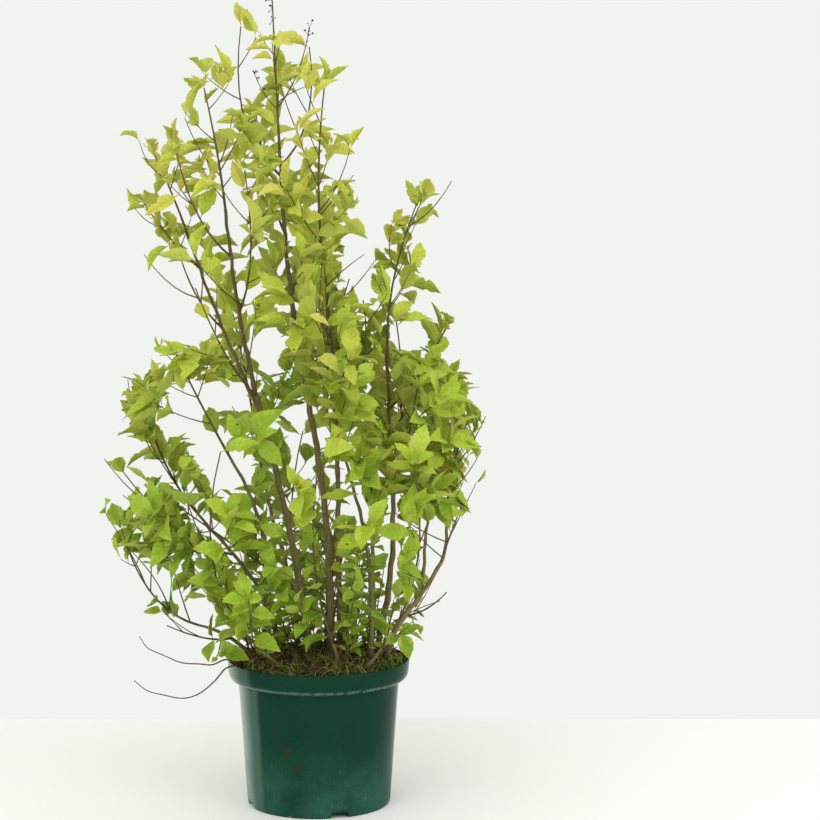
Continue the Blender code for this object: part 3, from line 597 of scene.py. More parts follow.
def layered(add, base, layers):
    """Lays colours over one another. Each layer has its mask, its share under a full mask, and its colour."""
    for mask, share, over in layers:
        pair = [linear(ink) if isinstance(ink, str) else ink for ink in (base, over)]
        under, over = ((*ink, 1.0) if isinstance(ink, tuple) else ink for ink in pair)
        factor = add("Math", [mask, share], **TIMES)
        base = add("Mix", {0: factor, 6: under, 7: over}, 2, data_type="RGBA")
    return base


def surface(made, add, tint, height, depth_mm, **others):
    """Links the colour and other inputs, and a bump of that many millimetres from a height of 0 to 1."""
    normal = add("Bump", {"Height": height, "Distance": depth_mm / 1000})
    shader = made.node_tree.nodes["Principled BSDF"]
    for name, socket in {"Base Color": tint, "Normal": normal, **others}.items():
        made.node_tree.links.new(socket, shader.inputs[name])
    return made


def leaf_finish(name, tint, veined):
    """Live leaf, grown with a thin skin of wax: a soft sheen, pressed-in side veins and a pale midrib.

    Side veins lie where SIDE_VEINS (along - 0.16 off) is a whole number. They are broader than real ones, so
    that they show. A third of the cells have a scorched spot up to 5 mm across, and some tips are scorched.
    """
    made, add, place = new_material(name, 0.55, 0.18)
    tint = linear(tint)
    pale = tuple(min(1.0, c * 1.16 + 0.035) for c in tint)
    deep = tuple(c * 0.80 for c in tint)
    along, off, _ = add("SeparateXYZ", [add("UVMap", uv_map="blade")], ALL)
    off = add("Math", [off], operation="ABSOLUTE")
    mottle, grain = (
        add("TexNoise", {"Vector": place, "Scale": 1000 / size_mm, "Detail": 3, "Roughness": 0.6})
        for size_mm in (LEAF_MOTTLE_MM, LEAF_GRAIN_MM))
    rib = add("MapRange", [off, 0.02, 0.09, 1, 0], **SMOOTH)
    slant = add("Math", [off, -0.16, along], **PLUS_PRODUCT)
    vein = add("Math", [add("Math", [slant, SIDE_VEINS], **TIMES), 0.5], operation="PINGPONG")
    furrow = add("MapRange", [vein, 0.02, 0.14, 1, 0], **SMOOTH)
    cell, draw = add("TexVoronoi", {"Vector": place, "Scale": 1000 / SCORCH_CELL_MM}, ALL)[:2]
    rare = add("Math", [add("SeparateColor", [draw]), 0.66], operation="GREATER_THAN")
    near = add("MapRange", [cell, 0.06, 0.10, 1, 0], **SMOOTH)
    tip = add("Math", [add("MapRange", [along, 0.86, 1.0], **SMOOTH),
                       add("MapRange", [mottle, 0.50, 0.62], **SMOOTH)], **TIMES)
    scorched = add("Math", [add("Math", [rare, near], **TIMES), tip], operation="MAXIMUM")
    blotched = add("MapRange", [mottle, 0.35, 0.68], **SMOOTH)
    shades = layered(add, deep, (
        (blotched, 1, pale if veined else tint), (1, 0.55, tint), (furrow, 0.30, deep if veined else pale),
        (rib, 0.65, pale), (scorched, 1, "#5a431d")))
    pressed = add("Math", [furrow, rib], operation="MAXIMUM")
    relief = add("Math", [add("Math", [grain, 0.3], **TIMES), pressed], operation="SUBTRACT")
    shader = made.node_tree.nodes["Principled BSDF"]
    shader.inputs["Subsurface Weight"].default_value = 0.3
    shader.inputs["Subsurface Radius"].default_value = (0.9, 1.0, 0.25)
    shader.inputs["Subsurface Scale"].default_value = 0.001
    return surface(made, add, shades, relief, 0.45 if veined else -0.3)


def bark_finish(name, low, high, streak_mm):
    """Thin corky bark: rough and dull, streaked along the stem, with pale pores.

    It greys with age low down, and a painted shade darkens it near the soil. Streaks and pores are drawn
    coarser than real ones, so that they show.
    """
    made, add, place = new_material(name, 0.82, 0.25)
    height = add("SeparateXYZ", [place], "Z")
    young = add("MapRange", [height, 0.24, 0.85], **SMOOTH)
    # Darker near the soil: a painted shade.
    damp = add("MapRange", [height, 0.215, 0.300, 1, 0], **SMOOTH)
    shade = layered(add, low, ((young, 1, high), (damp, 0.75, "#4d4228")))
    lengthways = add("Mapping", {"Vector": place, "Scale": (1, 1, 1 / 7)})
    streak = add("TexNoise", {"Vector": lengthways, "Scale": 1000 / streak_mm, "Detail": 4, "Roughness": 0.7})
    dark, light = (add("HueSaturation", {"Value": value, "Saturation": saturation, "Color": shade})
                   for value, saturation in ((0.55, 1.05), (1.45, 0.85)))
    pore = add("TexVoronoi", {"Vector": place, "Scale": 1000 / PORE_CELL_MM})
    pore = add("MapRange", [pore, 0.10, 0.20, 1, 0], **SMOOTH)
    streaked = layered(add, dark, (
        (add("MapRange", [streak, 0.30, 0.55], **SMOOTH), 1, shade),
        (add("MapRange", [streak, 0.55, 0.75], **SMOOTH), 0.7, light), (pore, 0.5, "#b3a184")))
    return surface(made, add, streaked, add("Math", [pore, 0.4, streak], **PLUS_PRODUCT), 0.5)


def pot_finish(colours):
    """Polypropylene, injection moulded: satin and dark, with the wear of years outdoors.

    The left side carries a painted reflection, paler still at its edge. Dust, chips and smears of mud gather
    towards the foot, and a painted highlight, broken up by noise, runs along the step under the rim. Scratches
    are drawn coarser than real ones, so that they show.
    """
    made, add, place = new_material("injection moulded polypropylene", 0.38, 0.07)
    x, y, height = add("SeparateXYZ", [place], ALL)
    cloud, fine, highlight_breakup, muddy, ragged = (
        add("TexNoise", {"Vector": place, "Scale": 1000 / size_mm, "Detail": detail, "Roughness": rough})
        for size_mm, detail, rough in POT_PATTERNS)
    upright = add("Mapping", {"Vector": place, "Scale": (1, 1, 1 / 26)})
    scratch = add("TexNoise", {"Vector": upright, "Scale": 1000 / SCRATCH_MM, "Detail": 2, "Roughness": 0.5})
    chipped = add("TexVoronoi", {"Vector": place, "Scale": 1000 / CHIP_CELL_MM})
    low = add("MapRange", [height, 0.005, 0.125, 1, 0], **SMOOTH)

    radius = add("VectorMath", [add("CombineXYZ", [x, y])], 1, operation="LENGTH")
    aside = add("Math", [cloud, 0.05, add("Math", [x, radius], operation="DIVIDE")], **PLUS_PRODUCT)
    # Painted reflection of the light down the left side, paler still at the edge where the pot turns away.
    painted_reflection = add("MapRange", [aside, -0.74, -0.66, 1, 0], **SMOOTH)
    turned = add("MapRange", [aside, -0.96, -0.78, 1, 0], **SMOOTH)
    dust, scuff = (
        add("Math", [add("MapRange", [pattern, *reach], **SMOOTH), add("Math", [low, everywhere])], **TIMES)
        for pattern, reach, everywhere in ((cloud, (0.15, 0.85), 0.05), (fine, (0.54, 0.78), 0.15)))
    # Painted highlight along the step under the rim, broken up by noise.
    ledge_highlight = add("Math", [add("MapRange", [height, RIDGE - 0.0026, RIDGE + 0.0002], **SMOOTH),
                         add("MapRange", [height, RIDGE + 0.0016, RIDGE + 0.0080, 1, 0], **SMOOTH)], **TIMES)
    ledge_highlight = add("Math", [ledge_highlight, add("MapRange", [highlight_breakup, 0.25, 0.65], **SMOOTH)], **TIMES)
    line = add("MapRange", [scratch, 0.74, 0.82], **SMOOTH)
    chip = add("Math", [add("MapRange", [chipped, 0.020, 0.034, 1, 0], **SMOOTH),
                        add("Math", [low, 0.4], operation="GREATER_THAN")], **TIMES)
    smear = add("Math", [add("MapRange", [muddy, 0.66, 0.78], **SMOOTH), low], **TIMES)
    # Painted light: the first two layers are a painted reflection and the fifth a painted highlight. The rest
    # are the pot's own dust, scuffs, scratches, chips and mud.
    layers = [(painted_reflection, 0.62, "#4d6e61"), (turned, 0.88, "#98aa9e"), (dust, 0.62, "#386a5b"),
              (scuff, 0.22, "#6f8f81"), (ledge_highlight, 0.7, "#6c8d7e"), (line, 0.3, "#8fa89a"), (chip, 1, "#c3cfc4"),
              (smear, 0.6, "#5d5340")]
    flat = add("CombineXYZ", {"X": x, "Z": height})
    front = add("Math", [y, 0.0], operation="LESS_THAN")
    for across, up in DIRT_SPOTS:
        away = add("VectorMath", [flat, (across, 0, up)], 1, operation="DISTANCE")
        away = add("Math", [ragged, 0.026, away], **PLUS_PRODUCT)
        speck = add("Math", [add("MapRange", [away, 0.0176, 0.0192, 1, 0], **SMOOTH), front], **TIMES)
        layers.append((speck, 0.90, "#302f1a"))
    worn = add("Math", [dust, scuff], operation="MAXIMUM")
    relief = add("Math", [add("Math", [fine, 0.4], **TIMES), line], operation="SUBTRACT")
    return surface(made, add, layered(add, tuple(colours.pot), layers), relief, 0.12,
                   Roughness=add("Math", [worn, 0.38, 0.16], **PLUS_PRODUCT))


def soil_finish():
    """Peat potting mix, kept damp: dark crumbs, dull, with a film of green in patches."""
    made, add, place = new_material("damp peat potting mix", 0.92, 0.2)
    crumb, patch = (
        add("TexNoise", {"Vector": place, "Scale": 1000 / size_mm, "Detail": detail, "Roughness": rough})
        for size_mm, detail, rough in SOIL_PATTERNS)
    crumbs = layered(add, "#120d08", (
        (add("MapRange", [crumb, 0.35, 0.65], **SMOOTH), 1, "#3b2d1d"),
        (add("MapRange", [patch, 0.46, 0.60], **SMOOTH), 0.75, "#2f3816")))
    return surface(made, add, crumbs, crumb, 2.0)


def plain_finish(name, tint, roughness, size_mm):
    """A thin plant part, dried or mossy: dull, and darker and lighter by a third over the given size."""
    made, add, place = new_material(name, roughness, 0.25)
    tone = add("TexNoise", {"Vector": place, "Scale": 1000 / size_mm, "Detail": 3, "Roughness": 0.6})
    dark = tuple(c * 0.62 for c in tint)
    light = tuple(min(1.0, c * 1.3) for c in tint)
    shades = layered(add, dark, ((add("MapRange", [tone, 0.3, 0.7], **SMOOTH), 1, light),))
    return surface(made, add, shades, tone, 0.3)


# Growth, by the rule of the solids


def limb_curve(foot, tip, bow, sway, stations):
    """Foot to tip: the chord, plus a half-wave bow, plus a full-wave sway across the picture."""
    t = np.linspace(0.0, 1.0, stations)[:, None]
    foot, tip, bow = np.array(foot), np.array(tip), np.array(bow)
    swayed = np.array([sway, 0, 0]) * np.sin(2 * np.pi * t)
    return foot + (tip - foot) * t + bow * np.sin(np.pi * t) + swayed


def bend_curve(start, heading, tip, stations):
    """Quadratic curve that leaves start along heading: (1-t)^2 start + 2t(1-t) control + t^2 tip."""
    t = np.linspace(0.0, 1.0, stations)[:, None]
    control = start + heading * np.linalg.norm(tip - start) * HEADING_REACH
    return (1 - t) ** 2 * start + 2 * t * (1 - t) * control + t**2 * tip


def smooth_route(points, shares):
    """Catmull-Rom curve through the points, read at shares of the way."""
    ends = np.vstack([2 * points[0] - points[1], points, 2 * points[-1] - points[-2]])
    place = np.minimum(shares * (len(points) - 1), len(points) - 1.000001)
    low = place.astype(int)
    t = (place - low)[:, None]
    a, b, c, d = (ends[low + k] for k in range(4))
    return 0.5 * (2 * b + (c - a) * t + (2 * a - 5 * b + 4 * c - d) * t**2 + (3 * b - a - 3 * c + d) * t**3)


def along(curve, share):
    """Point and heading at a share of the way along a curve's points."""
    place = share * (len(curve) - 1)
    low = min(int(place), len(curve) - 2)
    return curve[low] + (curve[low + 1] - curve[low]) * (place - low), unit(curve[low + 1] - curve[low])


def around(heading, turn):
    """Unit vector square to the heading, turned about it from a fixed start."""
    across = unit(np.cross(heading, [0.23, 0.41, 0.88]))
    return across * math.cos(turn) + np.cross(heading, across) * math.sin(turn)


def branch_heading(curve, share, tip, angle):
    """Start on the limb's middle line, and the heading that leaves the limb at the angle towards the tip."""
    point, heading = along(curve, share)
    outward = tip - point
    outward = unit(outward - heading * outward.dot(heading))
    return point, heading * math.cos(angle) + outward * math.sin(angle)


def plan_limbs():
    """Each limb's middle line, a point every five millimetres, and its radius there."""
    limbs = {}
    for name, (foot, tip, bow, sway, radius, end_radius) in STEMS.items():
        stations = int((tip[2] - SOIL_TOP) / LIMB_STEP) + 8
        curve = limb_curve((*foot, SOIL_TOP - 0.004), tip, bow, sway, stations)
        radii = np.linspace(radius, end_radius, stations)
        radii *= 1 + FLARE * np.exp(-np.maximum(curve[:, 2] - SOIL_TOP, 0) / FLARE_HEIGHT)
        limbs[name] = (curve, radii)
    for name, (parent, share, tip, bow, sway, radius, end_radius) in FORKS.items():
        start, away = branch_heading(limbs[parent][0], share, np.array(tip), FORK_ANGLE)
        length = np.linalg.norm(np.array(tip) - start)
        stations = int(length / LIMB_STEP)
        curve = limb_curve(start, tip, bow, sway, stations)
        lead = np.exp(-np.linspace(0, 1, stations) * FORK_LEAD)[:, None]
        reach = np.linspace(0, length, stations)[:, None]
        curve = curve * (1 - lead) + (start + away * reach) * lead
        limbs[name] = (curve, np.linspace(radius, end_radius, stations))
    return limbs


def inside_crown(points):
    """Which points lie inside the crown's outline."""
    heights, *reaches = CROWN.T
    left, right, front, back = (np.interp(points[:, 2], heights, reach) for reach in reaches)
    level = (points[:, 2] > heights[0]) & (points[:, 2] < heights[-1])
    across = (points[:, 0] > -left) & (points[:, 0] < right)
    return level & across & (points[:, 1] > -front) & (points[:, 1] < back)


def on_picture(points):
    """Points carried along the lines of sight to the upright plane through the pot's axis, as x and z."""
    across = np.array(CAMERA)[[0, 2]]
    scale = CAMERA[1] / (CAMERA[1] - points[:, 1:2])
    return across + (points[:, [0, 2]] - across) * scale


def against_sky(points):
    """Which points the camera sees inside one of the gaps of open sky."""
    away = (((on_picture(points)[:, None] - SKY[:, :2]) / SKY[:, 2:]) ** 2).sum(axis=2)
    return (away < 1).any(axis=1)


def airiness(height):
    """How open the crown is: nought in its leafy lower half, one near its top, and smooth between."""
    share = min(1.0, max(0.0, (height - AIRY_FROM) / (AIRY_TO - AIRY_FROM)))
    return share * share * (3 - 2 * share)


def shoot_start(limbs, number):
    """Start and heading of a shoot of the table."""
    limb, share, tip = SHOOTS[number][:3]
    curve = limbs[limb][0]
    if share == 1.0:
        heading = unit(curve[-1] - curve[-2])
        return curve[-1] - heading * 0.002, heading
    return branch_heading(curve, share, np.array(tip), SHOOT_ANGLE)


def stretches_in_sight(limbs):
    """The points of all limbs and shoots where they stay in sight."""
    points = []
    for name, low, high in IN_SIGHT:
        if name in limbs:
            curve = limbs[name][0][::2]
        else:
            curve = bend_curve(*shoot_start(limbs, name), np.array(SHOOTS[name][2]), 30)
        points.append(curve[int(low * len(curve)):int(high * len(curve))])
    return np.vstack(points)


class Growth:
    """Twigs and leaves as they are drawn, and the room that is left for the next leaf."""

    def __init__(self, sizes, limbs):
        self.sizes = sizes
        self.rng = np.random.default_rng(sizes.seed)
        self.spines, self.twigs, self.leaves, self.fruit = [], [], [], []
        self.bark = np.vstack([curve for curve, _ in limbs.values()])
        self.bark_radii = np.concatenate([radii for _, radii in limbs.values()])
        self.in_sight = stretches_in_sight(limbs)
        self.sight_picture = on_picture(self.in_sight)
        self.taken = np.zeros((MOST_PROBES, 3), np.float32)
        self.count = 0

    def room(self, points):
        """Whether points are in the crown, off the sky and limbs in sight, and clear of bark and leaves."""
        if not inside_crown(points).all() or against_sky(points).any():
            return False
        away = np.linalg.norm(on_picture(points)[:, None] - self.sight_picture[None], axis=2)
        nearer = points[:, None, 1] < self.in_sight[None, :, 1]
        if (nearer & (away < SIGHT_HALF_WIDTH)).any():
            return False
        bark = np.linalg.norm(points[:, None] - self.bark[None], axis=2) - self.bark_radii
        if bark.min() < LIMB_CLEARANCE:
            return False
        if not self.count:
            return True
        gaps = np.linalg.norm(points[:, None] - self.taken[None, :self.count], axis=2)
        return gaps.min() > LEAF_GAP

    def leaf(self, node, heading, turn, length, spread, shade):
        """One leaf that turns until it has room. It leaves the twig at the spread and bends with weight."""
        rng = self.rng
        length *= min(1.0, LOW_LEAF_SHARE + LOW_LEAF_RISE * max(0.0, node[2] - LOW_LEAF_HEIGHT))
        airy = airiness(node[2])
        droop = rng.uniform(*DROOP) + DROOP_LOW_DOWN * (1 - airy)
        roll = rng.normal(0, ROLL + ROLL_ALOFT * airy, 3)
        curl = rng.uniform(CURL[0], CURL[1] + CURL_ALOFT * airy)
        outwards = unit(np.array([node[0] - CROWN_AXIS[0], node[1] - CROWN_AXIS[1], 0.0]) + 1e-6)
        faces_out = FACE_OUT + FACE_OUT_LOW_DOWN * (1 - airy)
        for swing in TRY_SWINGS:
            away = heading * math.cos(spread) + around(heading, turn + swing) * math.sin(spread)
            away = unit(away - np.array([0, 0, droop]))
            normal = np.array([0.0, 0.0, FACE_UP]) + faces_out * outwards + FACE_FORWARD * heading + roll
            normal = unit(normal - away * normal.dot(away))
            side = np.cross(normal, away) * length * self.sizes.leaf_width * 0.4
            sag = normal * length * curl * 0.5
            blade = np.stack([node + away * length * share + side * edge - sag * low
                              for share, edge, low in LEAF_PROBES])
            if self.room(blade):
                self.taken[self.count:self.count + len(blade)] = blade
                self.count += len(blade)
                fold = rng.uniform(*FOLD) + FOLD_ALOFT * airy
                self.leaves.append((*node, *away, *normal, length, fold, curl, rng.uniform(0, math.tau),
                                    rng.normal(0, TWIST), shade))
                return

    def pair(self, node, heading, turn, length, spread, shade):
        """Two opposite leaves."""
        for half in (0, math.pi):
            self.leaf(node, heading, turn + half, length * self.rng.uniform(0.80, 1.12), spread, shade)

    def tuft(self, node, heading, turn, length, shade):
        """The leaves that end a twig, smaller and more upright towards its bud, and thinned aloft."""
        thin = self.rng.random() < 0.7 * airiness(node[2])
        for share, spread in TUFT:
            turn += math.pi / 2
            if not (thin and share == MID_TUFT):
                self.pair(node, heading, turn, length * share, spread, shade)

    def sprig(self, start, away, tip, shade, kind="leaves"):
        """A thin twig with its leaf pairs and its tuft, or with one pair, or with dried fruit, or bare."""
        rng, sizes = self.rng, self.sizes
        curve = bend_curve(start, away, tip, TWIG_STATIONS)
        length = np.linalg.norm(tip - start)
        radius = sizes.twig_radius * (0.70 + 3 * length)
        twig = (curve, radius, radius * TWIG_TAPER)
        heading = unit(curve[-1] - curve[-2])
        before = len(self.leaves)
        if kind == "fruit":
            self.fruit.append((curve[-1], heading))
        if kind in ("fruit", "bare"):
            self.twigs.append(twig)
            return
        airy = airiness(tip[2])
        leaf_length = sizes.leaf_length * rng.uniform(0.80, 1.05)
        turn = rng.uniform(0, math.pi)
        if kind == "pair":
            self.pair(curve[-1], heading, turn, leaf_length, rng.uniform(0.7, 1.1), shade)
            self.twigs.append(twig)
            return
        pairs = max(1, round(length / sizes.twig_internode * (1 - 0.55 * airy)))
        for k in range(pairs):
            share = 1 - (k + 0.75) * sizes.twig_internode / length
            if share < 0.2:
                break
            turn += math.pi / 2
            place, way = along(curve, share)
            self.pair(place, way, turn, leaf_length * rng.uniform(0.85, 1.1), rng.uniform(0.9, 1.3), shade)
        self.tuft(curve[-1], heading, turn, leaf_length, shade)
        if len(self.leaves) > before + 1:
            self.twigs.append(twig)

    def sprigs_on(self, carrier, curve):
        """The finer twigs that the table gives for a shoot or a limb."""
        for name, share, tip, kind in SPRIGS:
            if name == carrier:
                tip = np.array(tip)
                point, away = branch_heading(curve, share, tip, SIDE_TWIG_ANGLE)
                self.sprig(point, away, tip, self.shade(tip), kind)

    def side_twig(self, node, heading, turn, share):
        """A side twig whose length falls off towards the shoot's tip, kept inside the crown."""
        rng, sizes = self.rng, self.sizes
        airy = airiness(node[2])
        angle = SIDE_TWIG_ANGLE + rng.normal(0, SIDE_TWIG_ANGLE_SPREAD)
        away = unit(heading * math.cos(angle) + around(heading, turn) * math.sin(angle))
        long = sizes.side_twig * rng.uniform(0.55, 1.15) * (1.2 - 0.7 * share) * (1 + 0.25 * airy)
        for _ in range(3):
            tip = node + (away + [0, 0, 0.2]) * long
            if inside_crown(tip[None])[0] and not against_sky(tip[None])[0]:
                self.sprig(node, away, tip, self.shade(tip))
                return
            long *= 0.65

    def shoot(self, start, heading, tip, bare, radius, leafy_to=1.0):
        """A shoot: its spine, side twigs at every other node, leaf pairs at some nodes, and its tuft."""
        rng, sizes = self.rng, self.sizes
        spine = bend_curve(start, heading, tip, SPINE_STATIONS)
        self.spines.append((spine, radius, radius * 0.5))
        length = np.linalg.norm(np.diff(spine, axis=0), axis=1).sum()
        nodes = max(3, round(length / sizes.internode))
        turn = rng.uniform(0, math.pi)
        for k in range(nodes):
            share = (k + 0.8) / (nodes + 0.1)
            node, way = along(spine, min(share, 0.985))
            turn += math.pi / 2
            if not bare < share < leafy_to:
                continue
            airy = airiness(node[2])
            if k % 2 == 0 and share < 0.88:
                for half in (0, math.pi):
                    if rng.random() < TWIG_CHANCE - TWIG_CHANCE_ALOFT * airy:
                        self.side_twig(node, way, turn + half, share)
            chance = BETWEEN_CHANCE if k % 2 else AT_TWIGS_CHANCE
            if rng.random() < chance * (1 - PAIR_THINNING * airy):
                leaf_length = sizes.leaf_length * (1.12 - 0.3 * share**2)
                self.pair(node, way, turn, leaf_length, rng.uniform(0.95, 1.3), self.shade(node))
        if leafy_to == 1.0:
            heading = unit(spine[-1] - spine[-2])
            self.tuft(spine[-1], heading, turn, sizes.leaf_length, self.shade(spine[-1]))

    def low_shoots(self):
        """Thin shoots from the soil between the stems, with small leaves that close the foot of the crown."""
        rng = self.rng
        for _ in range(LOW_SHOOTS):
            turn = rng.uniform(0, math.tau)
            reach = rng.uniform(*LOW_SHOOT_FEET)
            out = np.array([math.cos(turn), math.sin(turn), 0.0])
            foot = out * reach + [0, 0, SOIL_TOP - 0.003]
            tip = out * (reach * rng.uniform(1.0, 1.5) + rng.uniform(0.0, 0.05)) + rng.normal(0, 0.02, 3)
            tip[2] = rng.uniform(*LOW_SHOOT_TOPS)
            heading = unit(np.array([0, 0, 1.0]) + out * rng.uniform(-0.2, 0.5))
            twig = bend_curve(foot, heading, tip, SPINE_STATIONS)
            self.spines.append((twig, rng.uniform(0.0010, 0.0015), 0.0006))
            nodes = round((tip[2] - SOIL_TOP) / LOW_INTERNODE)
            for k in range(nodes):
                turn += math.pi / 2
                place, way = along(twig, 0.25 + 0.7 * k / nodes)
                leaf_length, spread = rng.uniform(*LOW_LEAVES), rng.uniform(0.9, 1.3)
                self.pair(place, way, turn, leaf_length, spread, self.shade(place))
            self.tuft(twig[-1], unit(twig[-1] - twig[-2]), turn, LOW_TUFT, self.shade(tip))

    def shade(self, node):
        """Tint of a spray: paler and yellower with height and towards the outside, with a draw of its own."""
        height = (node[2] - CROWN_FOOT) / CROWN_HEIGHT
        outside = math.hypot(node[0] - CROWN_AXIS[0], node[1] - CROWN_AXIS[1]) / CROWN_RADIUS
        value = (TINT_FOOT + TINT_TOP * height + TINT_OUTSIDE * min(outside, 1.2)
                 + self.rng.normal(0, TINT_SPREAD))
        if self.rng.random() < YELLOWING:
            return len(LEAF_TINTS) - 1
        return int(np.clip(round(value), 0, len(LEAF_TINTS) - 2))


def grow_all(sizes):
    """Every shoot of the shrub, from the limbs outwards."""
    limbs = plan_limbs()
    growth = Growth(sizes, limbs)
    for name, (curve, _) in limbs.items():
        growth.sprigs_on(name, curve)
    for number, (limb, share, tip, bare, start_of_draws) in enumerate(SHOOTS):
        growth.rng = np.random.default_rng([sizes.seed, number, start_of_draws])
        tip = np.array(tip)
        start, heading = shoot_start(limbs, number)
        growth.sprigs_on(number, bend_curve(start, heading, tip, SPINE_STATIONS))
        at_tip = share == 1.0
        radius = min(sizes.spine_radius, limbs[limb][1][-1] if at_tip else sizes.spine_radius * 0.85)
        growth.shoot(start, heading, tip, bare, radius, LEAFY_TO.get(number, 1.0))
    growth.fruit.append((np.array(SHOOTS[0][2]), np.array([0, 0, 1.0])))
    growth.rng = np.random.default_rng(sizes.seed)
    growth.low_shoots()
    return growth


def leaf_rings(rows, width_share):
    """Leaves as flat four-sided tubes, from root, way, normal, length, fold, curl, phase and twist of each.

    The midrib turns down by curl * u^1.3 at the share u of the length. Across it, each half rises by its fold
    and its margin waves by sin(phase + 9u). Each margin is uneven, and a bitten one is cut in by a bell curve
    of u. The sides are the right margin, the midrib, the left margin and the keel.
    """
    root, way, normal = rows[:, 0:3], rows[:, 3:6], rows[:, 6:9]
    length, fold, curl, phase, twist = (rows[:, k] for k in range(9, 14))
    u = LEAF_PLACES
    angle = curl[:, None] * u**1.3 - 0.15
    step = np.diff(u, prepend=0.0)
    ahead = (np.cos(angle) * step).cumsum(1) * length[:, None]
    down = (np.sin(angle) * step).cumsum(1) * length[:, None]
    middle = root[:, None] + ahead[..., None] * way[:, None] - down[..., None] * normal[:, None]
    up = np.cos(angle)[..., None] * normal[:, None] + np.sin(angle)[..., None] * way[:, None]
    side = np.cross(normal, way)[:, None]
    spin = (twist[:, None] * u)[..., None]
    side, up = side * np.cos(spin) + up * np.sin(spin), up * np.cos(spin) - side * np.sin(spin)
    half = length[:, None] * width_share / 2 * LEAF_HALF_WIDTHS * (1 + LEAF_TEETH)
    rng = np.random.default_rng(len(rows))
    chance = np.where(root[:, 2] > AIRY_FROM, BITTEN_HIGH, BITTEN_LOW)
    rings = np.empty((len(rows), len(u), 4, 3))
    for place, across in ((0, 1.0), (2, -1.0)):
        bite = rng.uniform(0.2, 0.6, len(rows)) * (rng.random(len(rows)) < chance)
        bite_place, bite_reach = rng.uniform(0.25, 0.85, len(rows)), rng.uniform(0.03, 0.07, len(rows))
        cut = 1 - bite[:, None] * np.exp(-(((u - bite_place[:, None]) / bite_reach[:, None]) ** 2))
        margin = half * cut * (1 + rng.normal(0, MARGIN_ROUGHNESS, half.shape))
        wave = np.sin(phase[:, None] + MARGIN_WAVES * u) * MARGIN_WAVE
        rise = margin * (np.sin(fold)[:, None] + across * wave)
        spread = (margin * across * np.cos(fold)[:, None])[..., None]
        rings[:, :, place] = middle + side * spread + up * rise[..., None]
    rings[:, :, 1] = middle
    keel = np.minimum(KEEL, half * 0.3) + LEAST_KEEL
    rings[:, :, 3] = middle - up * keel[..., None]
    tip = middle[:, -1] + (middle[:, -1] - middle[:, -2]) * (1 - u[-1]) / (u[-1] - u[-2])
    return rings, np.stack([root, tip], axis=1)


def foliage_piece(name, rows, finishes, width_share):
    """Joined leaves. The two top sides of each take its spray's tint, the lower ones the paler underside."""
    rings, ends = leaf_rings(rows, width_share)
    items, stations, sides = rings.shape[:3]
    top = rows[:, 14].astype(int)
    under = len(LEAF_TINTS) + np.minimum(top // 3, len(UNDERSIDE_TINTS) - 1)
    per_side = np.where(np.arange(sides)[None] < 2, top[:, None], under[:, None])
    slots = np.concatenate([np.repeat(per_side[:, None], stations - 1, axis=1).ravel(),
                            np.repeat(per_side[:, None], 2, axis=1).ravel()])
    uv = np.zeros((items, stations * sides + 2, 2))
    uv[:, :-2, 0] = np.repeat(LEAF_PLACES, sides)
    uv[:, :-2, 1] = np.tile([1.0, 0.0, -1.0, 0.0], stations)
    uv[:, -1, 0] = 1.0
    return add_rings(name, rings, ends, finishes, slots=slots, uv=uv.reshape(-1, 2), sharp=75)


# Operators


